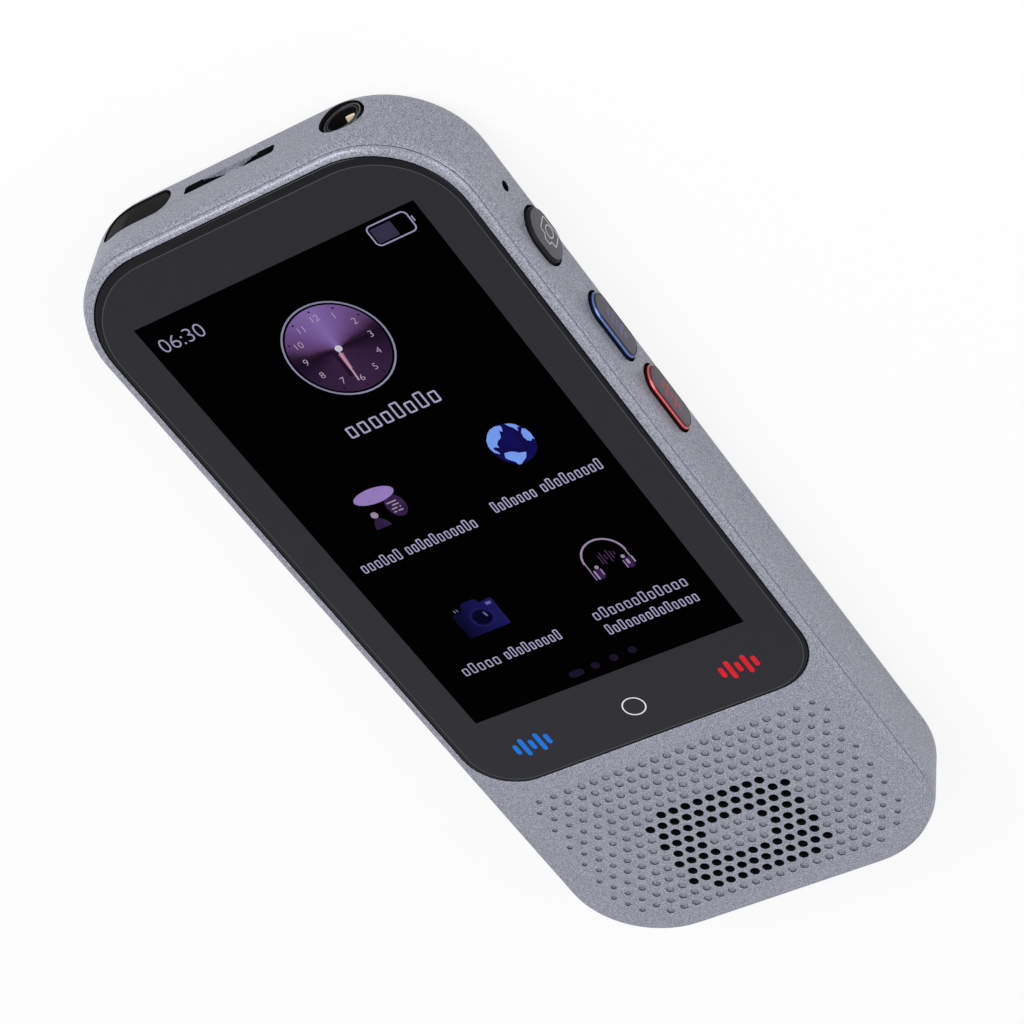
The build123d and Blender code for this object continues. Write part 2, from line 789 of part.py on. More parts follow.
save(headphone_jack.part, "headphone_jack")

with BuildPart() as jack_contacts:
    for angle, y in contact_places:
        with Locations(Location((jack_x, y, jack_level), (0, angle, 0))):
            with Locations((0, 0, contact_radius)):
                Box(
                    contact_width, contact_length, contact_thickness,
                    align=(Align.CENTER, Align.CENTER, Align.MIN),
                )
save(jack_contacts.part, "jack_contacts")

# --- Key electronics behind the right-hand wall -----------------------------------
bracket_x = 20.2
bracket_thickness = 0.5
bracket_height = 5.2
bracket_foot_width = 1.4
bracket_foot_thickness = 0.4
flex_x = bracket_x + bracket_thickness
key_flex_thickness = 0.2
key_flex_height = 3.4
switch_x = flex_x + key_flex_thickness
switch_thickness = 0.6
switch_length = 3.6
switch_height = 3.0
stem_x = 21.8               # where the side keys' switch stems end
key_centres = (blue_key_y, red_key_y, camera_key_y)
mic_can_depth = 1.1
mic_gasket_radius = 1.3

with BuildPart() as key_bracket:
    with Locations((bracket_x, key_bay_middle, chassis_floor)):
        Box(
            bracket_thickness, key_bay_length, bracket_height,
            align=(Align.MIN, Align.CENTER, Align.MAX),
        )
    with Locations((bracket_x + bracket_thickness, key_bay_middle, chassis_floor)):
        Box(
            bracket_foot_width, key_bay_length, bracket_foot_thickness,
            align=(Align.MAX, Align.CENTER, Align.MAX),
        )
save(key_bracket.part, "key_bracket")

with BuildPart() as key_flex:
    with Locations((flex_x, key_bay_middle, feature_height)):
        Box(
            key_flex_thickness, key_bay_length - 1, key_flex_height,
            align=(Align.MIN, Align.CENTER, Align.CENTER),
        )
save(key_flex.part, "key_flex")

with BuildPart() as key_switches:
    with Locations(*[(switch_x, y, feature_height) for y in key_centres]):
        Box(
            switch_thickness, switch_length, switch_height,
            align=(Align.MIN, Align.CENTER, Align.CENTER),
        )
    with BuildSketch(Plane.YZ.offset(stem_x)):
        with Locations(*[(y, feature_height) for y in key_centres]):
            small_round(stem_radius)
    extrude(amount=switch_x + switch_thickness - stem_x)
save(key_switches.part, "key_switches")

with BuildPart() as side_microphone:
    with Locations((switch_x, side_mic_y, feature_height)):
        Box(
            mic_can_depth, mic_can_length, mic_can_width,
            align=(Align.MIN, Align.CENTER, Align.CENTER),
        )
save(side_microphone.part, "side_microphone")

with BuildPart() as microphone_gasket:
    with BuildSketch(Plane.YZ.offset(switch_x + mic_can_depth)):
        with Locations((side_mic_y, feature_height)):
            small_round(mic_gasket_radius)
            small_round(mic_hole_radius, Mode.SUBTRACT)
    extrude(amount=inner_x - switch_x - mic_can_depth)
save(microphone_gasket.part, "microphone_gasket")

# --- Rear camera and flash ---------------------------------------------------------
camera_window_bottom = 0.25
camera_window_thickness = 0.7
camera_window_top = camera_window_bottom + camera_window_thickness
camera_block_size = 8.4
camera_block_bottom = 1.9
camera_barrel_radius = 2.7
camera_lens_radius = 1.6
camera_lens_depth = 0.7
flash_lens_thickness = 0.9
led_size = 2.4
led_thickness = 0.6

with BuildPart() as camera_module:
    with Locations((0, camera_y, board_bottom)):
        Box(
            camera_block_size, camera_block_size, board_bottom - camera_block_bottom,
            align=(Align.CENTER, Align.CENTER, Align.MAX),
        )
    with BuildSketch(Plane.XY.offset(camera_window_top)):
        with Locations((0, camera_y)):
            Circle(camera_barrel_radius)
    extrude(amount=camera_block_bottom - camera_window_top)
    with BuildSketch(Plane.XY.offset(camera_window_top)):
        with Locations((0, camera_y)):
            Circle(camera_lens_radius)
    extrude(amount=camera_lens_depth, taper=25, mode=Mode.SUBTRACT)
save(camera_module.part, "camera_module")

with BuildPart() as camera_ring:
    with BuildSketch():
        with Locations((0, camera_y)):
            Circle(camera_ring_radius)
            Circle(camera_glass_radius, mode=Mode.SUBTRACT)
    extrude(amount=floor)
    chamfer(camera_ring.edges().group_by(Axis.Z)[0], 0.2)
save(camera_ring.part, "camera_ring")

with BuildPart() as camera_window:
    with BuildSketch(Plane.XY.offset(camera_window_bottom)):
        with Locations((0, camera_y)):
            Circle(camera_glass_radius)
    extrude(amount=camera_window_thickness)
save(camera_window.part, "camera_window")

with BuildPart() as flash_lens:
    with BuildSketch():
        with Locations((flash_x, camera_y)):
            Circle(flash_radius)
    extrude(amount=flash_lens_thickness)
    chamfer(flash_lens.edges().group_by(Axis.Z)[0], 0.15)
save(flash_lens.part, "flash_lens")

with BuildPart() as flash_led:
    # the emitter on its strip of flex, which stands up to the main board
    with Locations((flash_x, camera_y, flash_lens_thickness)):
        Box(led_size, led_size, led_thickness, align=(Align.CENTER, Align.CENTER, Align.MIN))
    with Locations((flash_x, camera_y, board_bottom)):
        Box(
            led_size - 0.4, flex_thickness, board_bottom - flash_lens_thickness - led_thickness,
            align=(Align.CENTER, Align.CENTER, Align.MAX),
        )
save(flash_led.part, "flash_led")

# --- Keys ----------------------------------------------------------------------------
nub_radius = 1.1
nub_play = 0.1              # left between nub and switch stem with the key pressed home
nub_end_x = stem_x + key_travel + nub_play
talk_cap_top = half_width + talk_key_proud
cap_depth = 1.2
cap_bevel = 0.06
ear_height_loss = 0.8       # by which the ears are lower than the key
camera_key_bevel = 0.3


def key_root(length, height, y):
    """Ears and nub behind a side key, on the plane of the right-hand wall."""
    with BuildPart() as root:
        with BuildSketch(Plane.YZ.offset(ear_inner_x)):
            with Locations((y, feature_height)):
                Rectangle(
                    length - 2 * key_gap + 2 * ear_reach, height - 2 * key_gap - ear_height_loss
                )
        extrude(amount=ear_thickness)
        with BuildSketch(Plane.YZ.offset(nub_end_x)):
            with Locations((y, feature_height)):
                small_round(nub_radius)
        extrude(amount=ear_inner_x - nub_end_x)
    return root.part


for colour, key_y in (("blue", blue_key_y), ("red", red_key_y)):
    with BuildPart() as key_rim:
        with BuildSketch(Plane.YZ.offset(ear_outer_x)):
            with Locations((key_y, feature_height)):
                SlotOverall(talk_key_length - 2 * key_gap, talk_key_height - 2 * key_gap)
        extrude(amount=talk_cap_top - ear_outer_x)
        chamfer(key_rim.edges().group_by(Axis.X)[-1], rim_bevel)
        with BuildSketch(Plane.YZ.offset(talk_cap_top)):
            with Locations((key_y, feature_height)):
                SlotOverall(
                    talk_key_length - 2 * key_gap - 2 * rim_width,
                    talk_key_height - 2 * key_gap - 2 * rim_width,
                )
        extrude(amount=-cap_depth, mode=Mode.SUBTRACT)
        add(key_root(talk_key_length, talk_key_height, key_y))
    save(key_rim.part, f"{colour}_key_rim")

    with BuildPart() as key_cap:
        with BuildSketch(Plane.YZ.offset(talk_cap_top - cap_depth)):
            with Locations((key_y, feature_height)):
                SlotOverall(
                    talk_key_length - 2 * key_gap - 2 * rim_width,
                    talk_key_height - 2 * key_gap - 2 * rim_width,
                )
        extrude(amount=cap_depth)
        chamfer(key_cap.edges().group_by(Axis.X)[-1], cap_bevel)
    save(key_cap.part, f"{colour}_key_cap")

with BuildPart() as camera_key:
    with BuildSketch(Plane.YZ.offset(ear_outer_x)):
        with Locations((camera_key_y, feature_height)):
            SlotOverall(camera_key_length - 2 * key_gap, camera_key_height - 2 * key_gap)
    extrude(amount=half_width + camera_key_proud - ear_outer_x)
    chamfer(camera_key.edges().group_by(Axis.X)[-1], camera_key_bevel)
    add(key_root(camera_key_length, camera_key_height, camera_key_y))
save(camera_key.part, "camera_key")

power_root_y = 58.15        # inner end of the key, which clears the round corner's inside
power_ear_height = 1.9
power_ear_width = 1.6
power_nub_radius = 0.9
power_nub_end_y = stem_y + key_travel + nub_play
power_ear_right = power_key_x + power_key_length / 2 - key_gap + ear_reach
with BuildPart() as power_key:
    # its face follows the body round the corner
    with BuildSketch(Plane.XY.offset(power_key_sunk)):
        body_outline(power_key_sunk)
    extrude(amount=body_height)
    fillet(power_key.edges().group_by(Axis.Z)[0], back_edge_radius - power_key_sunk)
    with BuildSketch(Plane.XZ.offset(-power_root_y)):
        with Locations((power_key_x, power_key_level)):
            SlotOverall(power_key_length - 2 * key_gap, power_key_height - 2 * key_gap)
    extrude(amount=-cut_length, mode=Mode.INTERSECT)
    # one ear across the inner end reaches behind the corner, one behind the straight wall
    with BuildSketch(Plane.XZ.offset(-power_root_y)):
        with Locations((power_key_x, power_key_level)):
            Rectangle(power_key_length - 2 * key_gap + 2 * ear_reach, power_ear_height)
    extrude(amount=ear_thickness)
    with Locations((power_ear_right, inner_y - ear_play, power_key_level)):
        Box(
            power_ear_width, ear_thickness, power_ear_height,
            align=(Align.MAX, Align.MAX, Align.CENTER),
        )
    with BuildSketch(Plane.XZ.offset(-power_nub_end_y)):
        with Locations((power_key_x, power_key_level)):
            small_round(power_nub_radius)
    extrude(amount=-(power_root_y - ear_thickness - power_nub_end_y))
save(power_key.part, "power_key")
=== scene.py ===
from math import cos, pi, radians, sin

import bmesh
import bpy
from mathutils import Matrix, Vector


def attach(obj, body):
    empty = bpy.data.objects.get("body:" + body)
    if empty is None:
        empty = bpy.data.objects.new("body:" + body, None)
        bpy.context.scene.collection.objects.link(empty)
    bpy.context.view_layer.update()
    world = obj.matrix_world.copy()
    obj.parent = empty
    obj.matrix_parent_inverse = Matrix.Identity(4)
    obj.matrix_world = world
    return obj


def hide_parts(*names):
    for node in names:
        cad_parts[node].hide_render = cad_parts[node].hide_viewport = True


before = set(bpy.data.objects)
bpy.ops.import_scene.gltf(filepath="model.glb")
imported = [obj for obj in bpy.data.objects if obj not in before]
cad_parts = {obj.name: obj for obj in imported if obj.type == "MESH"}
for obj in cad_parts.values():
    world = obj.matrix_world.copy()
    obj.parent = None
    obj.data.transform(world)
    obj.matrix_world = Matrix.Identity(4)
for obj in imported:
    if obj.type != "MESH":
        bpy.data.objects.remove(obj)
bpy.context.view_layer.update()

# --- Back shell -----------------------------------------------------------------------
# The deep half of the case with the side walls, moulded in one piece and painted in a
# fine metallic silver. Keys, sockets and the lanyard bar sit in its walls; the front
# cover snaps into its upper lip.

MM = 0.001


class Node:
    """One output socket of a node tree. Arithmetic on it adds Math nodes to the tree."""

    def __init__(self, tree, socket=None):
        self.tree = tree
        self.socket = socket

    def feed(self, target):
        """Links this output to another node's input."""
        self.tree.links.new(self.socket, target)

    def add(self, kind, settings=None, inputs=None, out=0):
        """A node of any type: its settings first, then its inputs' values or links."""
        node = self.tree.nodes.new(kind)
        for name, value in (settings or {}).items():
            if name == "stops":
                stops = node.color_ramp.elements
                for index, (place, colour) in enumerate(value):
                    stop = stops[index] if index < len(stops) else stops.new(place)
                    stop.position = place
                    stop.color = colour
            else:
                setattr(node, name, value)
        for key, value in (inputs or {}).items():
            for one in value if isinstance(value, list) else [value]:
                if isinstance(one, Node):
                    one.feed(node.inputs[key])
                else:
                    node.inputs[key].default_value = one
        return Node(self.tree, node.outputs[out])

    def math(self, operation, *others):
        values = dict(enumerate((self, *others)))
        return self.add("ShaderNodeMath", {"operation": operation}, values)

    def __add__(self, other):
        return self.math("ADD", other)

    __radd__ = __add__

    def __sub__(self, other):
        return self.math("SUBTRACT", other)

    def __rsub__(self, other):
        return self.add("ShaderNodeMath", {"operation": "SUBTRACT"}, {0: other, 1: self})

    def __mul__(self, other):
        return self.math("MULTIPLY", other)

    __rmul__ = __mul__

    def __truediv__(self, other):
        return self.math("DIVIDE", other)

    def __pow__(self, other):
        return self.math("POWER", other)

    def __lt__(self, other):
        return self.math("LESS_THAN", other)

    def __gt__(self, other):
        return self.math("GREATER_THAN", other)

    def blend(self, low, high):
        """The colour that goes from low to high as this value goes from 0 to 1."""
        return self.add(
            "ShaderNodeMix", {"data_type": "RGBA"}, {0: self, 6: (*low, 1), 7: (*high, 1)}, 2
        )


def shader_inputs(material):
    return material.node_tree.nodes["Principled BSDF"].inputs


def new_material(name):
    """A material, the start of its node tree, and its shader's inputs."""
    material = bpy.data.materials.new(name)
    material.use_nodes = True
    return material, Node(material.node_tree), shader_inputs(material)


def noise(surface, scale, roughness=0.5):
    """Noise in the object's own space; scale counts its cells per millimetre."""
    place = surface.add("ShaderNodeTexCoord", out="Object")
    return surface.add(
        "ShaderNodeTexNoise", {},
        {"Vector": place, "Scale": scale / MM, "Detail": 2.0, "Roughness": roughness},
    )


def relief(height, lift, strength, inputs):
    """Lifts the surface by up to lift millimetres where the height is 1."""
    height.add(
        "ShaderNodeBump", {},
        {"Strength": strength, "Distance": lift * MM, "Height": height},
    ).feed(inputs["Normal"])


def finish(name, dark, light, scale, roughness, metallic=0.0, bump=0.0, ior=1.5):
    """A procedural finish: colour and roughness wander between two values with a noise,
    which also lifts the surface by bump millimetres."""
    material, surface, inputs = new_material(name)
    grain = noise(surface, scale)
    grain.blend(dark, light).feed(inputs["Base Color"])
    gloss = grain * (roughness[1] - roughness[0]) + roughness[0]
    gloss.feed(inputs["Roughness"])
    inputs["Metallic"].default_value = metallic
    inputs["IOR"].default_value = ior
    if bump:
        relief(grain, bump, 1.0, inputs)
    return material


def silver_paint(name, gain=1.0):
    """Silver base coat with fine flakes: a dense grain and a few bright specks."""
    material, surface, inputs = new_material(name)
    grain = noise(surface, 6.5, 0.7)
    place = surface.add("ShaderNodeTexCoord", out="Object")
    flake = surface.add(
        "ShaderNodeTexVoronoi", {"feature": "F1"}, {"Vector": place, "Scale": 6.0 / MM}, 1
    )
    tint = surface.add("ShaderNodeSeparateColor", {}, {0: flake}, 0)
    speck = tint ** 8.0 * 0.5
    shade = (grain - 0.5) * 3.8 + 0.45 + speck
    shade.blend(
        tuple(part * gain for part in (0.142, 0.146, 0.180)),
        tuple(part * gain for part in (0.40, 0.41, 0.485)),
    ).feed(inputs["Base Color"])
    (grain * 0.16 + 0.34).feed(inputs["Roughness"])
    inputs["Metallic"].default_value = 0.35
    relief(grain, 0.012, 0.6, inputs)
    return material


silver = silver_paint("silver_paint")


def new_piece(name, mesh, *materials):
    piece = bpy.data.objects.new(name, mesh)
    bpy.context.scene.collection.objects.link(piece)
    for material in materials:
        mesh.materials.append(material)
    return piece


def smooth(mesh, sharp_angle=32):
    """Smooth shading, apart from edges that turn by more than the angle."""
    mesh.shade_smooth()
    mesh.set_sharp_from_angle(angle=radians(sharp_angle))


def settle(piece):
    """Leaves what a piece's modifiers make of it as its plain mesh."""
    graph = bpy.context.evaluated_depsgraph_get()
    mesh = bpy.data.meshes.new_from_object(piece.evaluated_get(graph))
    piece.modifiers.clear()
    piece.data = mesh


def copy_of(node, name, material, edge, sides=2):
    """A node's shape with its triangles joined and its sharp edges rounded by edge mm."""
    work = bmesh.new()
    work.from_mesh(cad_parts[node].data)
    bmesh.ops.remove_doubles(work, verts=work.verts, dist=0.001 * MM)
    bmesh.ops.dissolve_limit(
        work, angle_limit=radians(0.4), verts=work.verts, edges=work.edges
    )
    mesh = bpy.data.meshes.new(name)
    work.to_mesh(mesh)
    work.free()
    piece = new_piece(name, mesh, material)
    bevel = piece.modifiers.new("edge", "BEVEL")
    bevel.width = edge * MM
    bevel.segments = sides
    bevel.limit_method = "ANGLE"
    bevel.angle_limit = radians(40)
    normals = piece.modifiers.new("normals", "WEIGHTED_NORMAL")
    normals.keep_sharp = True
    smooth(mesh)
    settle(piece)
    smooth(piece.data)
    return piece


# A near black: painted shade inside openings, holes and gaps, and the black of the headphone
# socket's moulding.
hollow_dark = finish(
    "hollow_dark", (0.003, 0.003, 0.004), (0.007, 0.007, 0.008), 2.0, (0.6, 0.75), ior=1.15,
)
corner_middle = Vector((13.2, 49.25))   # of the outline's round corners
corner_radius = 12.3
back_edge_radius = 2.8
shoulder_radius = 2.6
shoulder_level = 9.04                   # where the shoulder's round starts


def way_out(point):
    """A point's depth under the shell's outer form in mm, and the direction out of it."""
    x, y, z = point / MM
    core_x = max(-corner_middle.x, min(corner_middle.x, x))
    core_y = max(-corner_middle.y, min(corner_middle.y, y))
    plan = Vector((x - core_x, y - core_y, 0))
    reach = plan.length
    for radius, level, below in (
        (back_edge_radius, back_edge_radius, True), (shoulder_radius, shoulder_level, False)
    ):
        if (z < level) == below:
            lean = Vector((reach - corner_radius + radius, z - level))
            if lean.x <= 0:
                return (z if below else corner_radius), Vector((0, 0, -1 if below else 1))
            away = plan.normalized() * lean.x + Vector((0, 0, lean.y))
            return radius - lean.length, away.normalized()
    return corner_radius - reach, plan.normalized()


back_shell = copy_of("back_cover", "back_shell", silver, 0.12)
back_shell.data.materials.append(hollow_dark)
painted_depth = 0.16                    # deeper faces are near black: painted shade
painted_lean = 0.35                     # least cosine of a painted face's lean
# Faces too deep or turned away from the outside get the near-black material: painted shade
# inside the openings and the lanyard slot.
for face in back_shell.data.polygons:
    depth, way = way_out(face.center)
    painted = depth < painted_depth and face.normal.dot(way) > painted_lean
    face.material_index = 0 if painted else 1
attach(back_shell, "case")
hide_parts("back_cover")

# --- Lanyard bar ----------------------------------------------------------------------
# The visible skin of the bar across the lanyard slot: a ramp that starts flush with the
# wall and narrows inwards to a post. It is moulded and painted with the back shell; its
# silver is painted lighter, as painted light against the shade inside the slot.

bar_root = 7.35
bar_tip = 2.38
bar_front_y = 61.53
bar_tip_y = 60.915
post_back_y = 60.3
ramp_levels = (4.08, 4.225)
post_levels = (3.9, 5.7)


def skin(name, loops, closed, strips=None):
    """A mesh through a row of loops with equal counts. closed joins the last to the
    first; otherwise both ends are capped. strips gives a strip's material index."""
    work = bmesh.new()
    rows = [[work.verts.new(Vector(point) * MM) for point in loop] for loop in loops]
    count = len(loops[0])
    pairs = list(zip(rows, rows[1:]))
    if closed:
        pairs.append((rows[-1], rows[0]))
    for index, (row, following) in enumerate(pairs):
        for step in range(count):
            after = (step + 1) % count
            face = work.faces.new((row[step], row[after], following[after], following[step]))
            face.material_index = (strips or {}).get(index, 0)
    if not closed:
        work.faces.new(rows[0][::-1])
        last = work.faces.new(rows[-1])
        last.material_index = (strips or {}).get(len(pairs), 0)
    bmesh.ops.recalc_face_normals(work, faces=work.faces)
    mesh = bpy.data.meshes.new(name)
    work.to_mesh(mesh)
    work.free()
    return mesh


def merged(name, meshes):
    """One mesh out of several that lie apart."""
    work = bmesh.new()
    for mesh in meshes:
        work.from_mesh(mesh)
    whole = bpy.data.meshes.new(name)
    work.to_mesh(whole)
    work.free()
    return whole


root, tip = bar_root / 2, bar_tip / 2
ramp = ((-root, bar_front_y), (-tip, bar_tip_y), (tip, bar_tip_y), (root, bar_front_y))
post = ((-tip, bar_tip_y), (-tip, post_back_y), (tip, post_back_y), (tip, bar_tip_y))
bar_mesh = merged("lanyard_bar", [
    skin("bar", [[(x, y, level) for x, y in corners] for level in levels], False)
    for corners, levels in ((ramp, ramp_levels), (post, post_levels))
])
# the bar's silver is a brighter copy of the shell's: painted light
lanyard_bar = new_piece("lanyard_bar", bar_mesh, silver_paint("bar_silver_painted_light", 1.3))
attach(lanyard_bar, "case")

# --- Front cover ----------------------------------------------------------------------
# A thin moulded lid with a bevelled edge, painted like the shell. Below the glass it is
# punched with a hexagonal ring of speaker holes; blind dimples carry the same lattice
# on to the edges, where they spread out and shrink.

body_width = 51.0
body_length = 123.1
front_level = 11.2
glass_width = 47.9
glass_ends = (-28.95, 60.15)
glass_corner_radii = (6.9, 11.2)        # at the lower and the upper end
grille_y = -48.45
corner_steps = 14


def rounded_loop(half_width, low, high, low_radius, high_radius, level):
    """Points of a rounded rectangle, anticlockwise from the right-hand bottom corner."""
    points = []
    corners = [
        (half_width, low, low_radius, -90), (half_width, high, high_radius, 0),
        (-half_width, high, high_radius, 90), (-half_width, low, low_radius, 180),
    ]
    for x, y, radius, start in corners:
        middle_x = x - radius if x > 0 else x + radius
        middle_y = y + radius if y == low else y - radius
        for step in range(corner_steps + 1):
            angle = radians(start + 90 * step / corner_steps)
            points.append((
                middle_x + radius * cos(angle), middle_y + radius * sin(angle), level
            ))
    return points


def body_loop(inset, level):
    radius = corner_radius - inset
    end = body_length / 2 - inset
    return rounded_loop(body_width / 2 - inset, -end, end, radius, radius, level)


def glass_loop(inset, level):
    low, high = glass_ends
    low_radius, high_radius = glass_corner_radii
    return rounded_loop(
        glass_width / 2 - inset, low + inset, high - inset, low_radius - inset,
        high_radius - inset, level,
    )


def opening_loop(level):
    """The edge of the opening in the glass's recess, which the display looks through."""
    return rounded_loop(21.7, -24.0, 56.6, 3.0, 3.0, level)


def lathe(name, profile, sides):
    """A closed solid of revolution round +Z from (radius, level) pairs, bottom to top."""
    loops = [
        [
            (radius * cos(2 * pi * side_shade / sides), radius * sin(2 * pi * side_shade / sides), level)
            for side_shade in range(sides)
        ]
        for radius, level in profile
    ]
    return skin(name, loops, False)


plate_loops = [
    body_loop(0.9, 10.58), body_loop(0.47, 10.58), body_loop(0.45, 10.6),
    body_loop(0.45, 10.69), body_loop(0.48, 10.79), body_loop(0.55, 10.91),
    body_loop(0.67, 11.03), body_loop(0.82, 11.12), body_loop(0.98, 11.175),
    body_loop(1.15, 11.2),
    glass_loop(-0.2, 11.2), glass_loop(-0.12, 11.15), glass_loop(-0.09, 11.08),
    glass_loop(-0.08, 10.98),
    glass_loop(-0.08, 10.25), opening_loop(10.25), opening_loop(9.25),
    body_loop(0.9, 9.25),
]
front_plate = new_piece("front_plate", skin("front_plate", plate_loops, True), silver)

hole_radius = 0.62
hole_profile = [
    (hole_radius, -1.6), (hole_radius, -0.07), (hole_radius + 0.015, -0.025),
    (hole_radius + 0.04, -0.004), (hole_radius + 0.05, 0.006), (hole_radius + 0.05, 0.3),
]
dimple_radius = 0.54
dimple_profile = [
    (0.2, -0.25), (dimple_radius - 0.015, -0.245), (dimple_radius, -0.23),
    (dimple_radius, -0.02), (dimple_radius + 0.012, -0.006), (dimple_radius + 0.025, 0.006),
    (dimple_radius + 0.025, 0.3),
]
hole_cutter = new_piece("hole_cutter", lathe("hole_cutter", hole_profile, 24))
dimple_cutter = new_piece("dimple_cutter", lathe("dimple_cutter", dimple_profile, 18))


class Tree(Node):
    """A geometry node tree with named inputs, built node by node."""

    def __init__(self, name, inputs):
        super().__init__(bpy.data.node_groups.new(name, "GeometryNodeTree"))
        face = self.tree.interface
        face.new_socket("Geometry", in_out="INPUT", socket_type="NodeSocketGeometry")
        self.values = {}
        for label, kind, value in inputs:
            socket = face.new_socket(label, in_out="INPUT", socket_type=kind)
            self.values[socket.identifier] = value
        face.new_socket("Geometry", in_out="OUTPUT", socket_type="NodeSocketGeometry")
        self.source = self.tree.nodes.new("NodeGroupInput")

    def entry(self, label):
        return Node(self.tree, self.source.outputs[label])

    def run(self, piece, geometry):
        """Makes the geometry the tree's result, and leaves it as the piece's mesh."""
        geometry.feed(self.tree.nodes.new("NodeGroupOutput").inputs[0])
        modifier = piece.modifiers.new(self.tree.name, "NODES")
        modifier.node_group = self.tree
        for identifier, value in self.values.items():
            modifier[identifier] = value
        settle(piece)


columns = 11                            # on either side of the middle
lowest_row = -5                         # rows count from the ring's middle one
highest_row = 9
ring_rows = 4.5                         # limits lie between two rows or columns
ring_columns = 5.6
full_rows = 3.0                         # past these the ring narrows
ring_narrowing = 1.5                    # columns a row
middle_rows = 1.5
middle_columns = 2.25
field_columns = 11.2
field_narrowing = 1.1
perforation = Tree("perforation", [
    ("Hole Cutter", "NodeSocketObject", hole_cutter),
    ("Dimple Cutter", "NodeSocketObject", dimple_cutter),
    ("Pitch", "NodeSocketFloat", 1.76 * MM),
    ("Spread From", "NodeSocketFloat", 7.7),
    ("Spread", "NodeSocketFloat", 0.36 * MM),
    ("Shrink", "NodeSocketFloat", 0.1),
    ("Middle", "NodeSocketFloat", grille_y * MM),
    ("Level", "NodeSocketFloat", front_level * MM),
    ("Speaker Room", "NodeSocketVector", (30 * MM, 22 * MM, 1.6 * MM)),
    ("Room Middle", "NodeSocketVector", (0, grille_y * MM, 9.2 * MM)),
    ("Paint", "NodeSocketMaterial", silver),
])
grid = perforation.add("GeometryNodeMeshGrid", {}, {
    "Size X": 2.0 * columns, "Size Y": float(highest_row - lowest_row),
    "Vertices X": 2 * columns + 1, "Vertices Y": highest_row - lowest_row + 1,
})
at = perforation.add("GeometryNodeInputPosition")
grid_x = perforation.add("ShaderNodeSeparateXYZ", {}, {0: at}, 0)
grid_y = perforation.add("ShaderNodeSeparateXYZ", {}, {0: at}, 1)
row = (grid_y + (highest_row + lowest_row) / 2).math("ROUND")
odd = (row + 10.0).math("MODULO", 2.0)
column = grid_x + odd * 0.5
away = column.math("ABSOLUTE")
beyond = (away - perforation.entry("Spread From")).math("MAXIMUM", 0.0)
side_shade = column.math("SIGN")
x = column * perforation.entry("Pitch") + side_shade * beyond * perforation.entry("Spread")
y = row * perforation.entry("Pitch") + perforation.entry("Middle")
row_away = row.math("ABSOLUTE")
ring_edge = away + (row_away - full_rows).math("MAXIMUM", 0.0) * ring_narrowing
outside_ring = (ring_edge > ring_columns).math("MAXIMUM", row_away > ring_rows)
inside_ring = (row_away < middle_rows) * (away < middle_columns)
blind = outside_ring.math("MAXIMUM", inside_ring)
low_rows = (-full_rows - row).math("MAXIMUM", 0.0)
dropped = away + low_rows * field_narrowing > field_columns
place = perforation.add(
    "ShaderNodeCombineXYZ", {}, {0: x, 1: y, 2: perforation.entry("Level")}
)
size = 1.0 - beyond * perforation.entry("Shrink")
saved = grid
for label, value in (("blind", blind), ("dropped", dropped), ("size", size)):
    saved = perforation.add(
        "GeometryNodeStoreNamedAttribute", {"data_type": "FLOAT", "domain": "POINT"},
        {"Geometry": saved, "Name": label, "Value": value},
    )
moved = perforation.add(
    "GeometryNodeSetPosition", {}, {"Geometry": saved, "Position": place}
)


def stored(label):
    return perforation.add(
        "GeometryNodeInputNamedAttribute", {"data_type": "FLOAT"}, {"Name": label}
    )


kept = perforation.add(
    "GeometryNodeDeleteGeometry", {"domain": "POINT"},
    {"Geometry": moved, "Selection": stored("dropped") > 0.5},
)
cutters = []
for label, wanted in (
    ("Hole Cutter", stored("blind") < 0.5), ("Dimple Cutter", stored("blind") > 0.5)
):
    shape = perforation.add(
        "GeometryNodeObjectInfo", {"transform_space": "ORIGINAL"},
        {"Object": perforation.entry(label)}, 4,
    )
    scale = perforation.add(
        "ShaderNodeCombineXYZ", {}, {0: stored("size"), 1: stored("size"), 2: 1.0}
    )
    placed = perforation.add("GeometryNodeInstanceOnPoints", {}, {
        "Points": kept, "Selection": wanted, "Instance": shape, "Scale": scale,
    })
    cutters.append(perforation.add("GeometryNodeRealizeInstances", {}, {"Geometry": placed}))
room = perforation.add(
    "GeometryNodeMeshCube", {}, {"Size": perforation.entry("Speaker Room")}
)
cutters.append(perforation.add(
    "GeometryNodeSetPosition", {},
    {"Geometry": room, "Offset": perforation.entry("Room Middle")},
))
punched = perforation.add(
    "GeometryNodeMeshBoolean", {"operation": "DIFFERENCE", "solver": "EXACT"},
    {"Mesh 1": perforation.entry("Geometry"), "Mesh 2": cutters},
)
whole = perforation.add("GeometryNodeRealizeInstances", {}, {"Geometry": punched})
painted = perforation.add(
    "GeometryNodeSetMaterial", {},
    {"Geometry": whole, "Material": perforation.entry("Paint")},
)
perforation.run(front_plate, painted)
for cutter in (hole_cutter, dimple_cutter):
    bpy.data.objects.remove(cutter)
smooth(front_plate.data)
for face in front_plate.data.polygons:
    if abs(face.normal.z) > 0.9995:
        face.use_smooth = False

# painted shade: the walls of the blind dimples get a darker grey than the silver round them
pit_wall_shade = finish(
    "pit_wall_shade", (0.03, 0.031, 0.038), (0.05, 0.052, 0.063), 6.0, (0.45, 0.55),
)
front_plate.data.materials.append(hollow_dark)
front_plate.data.materials.append(pit_wall_shade)
glass_middle_y = 15.6
grille_top_y = -30.0
lip_level = 10.585                      # just over the visible edge's underside
room_half_width = 12.0
room_top = 10.8                         # a hole is dark inside up to here
pit_bottom = 10.96
pit_top = 11.19
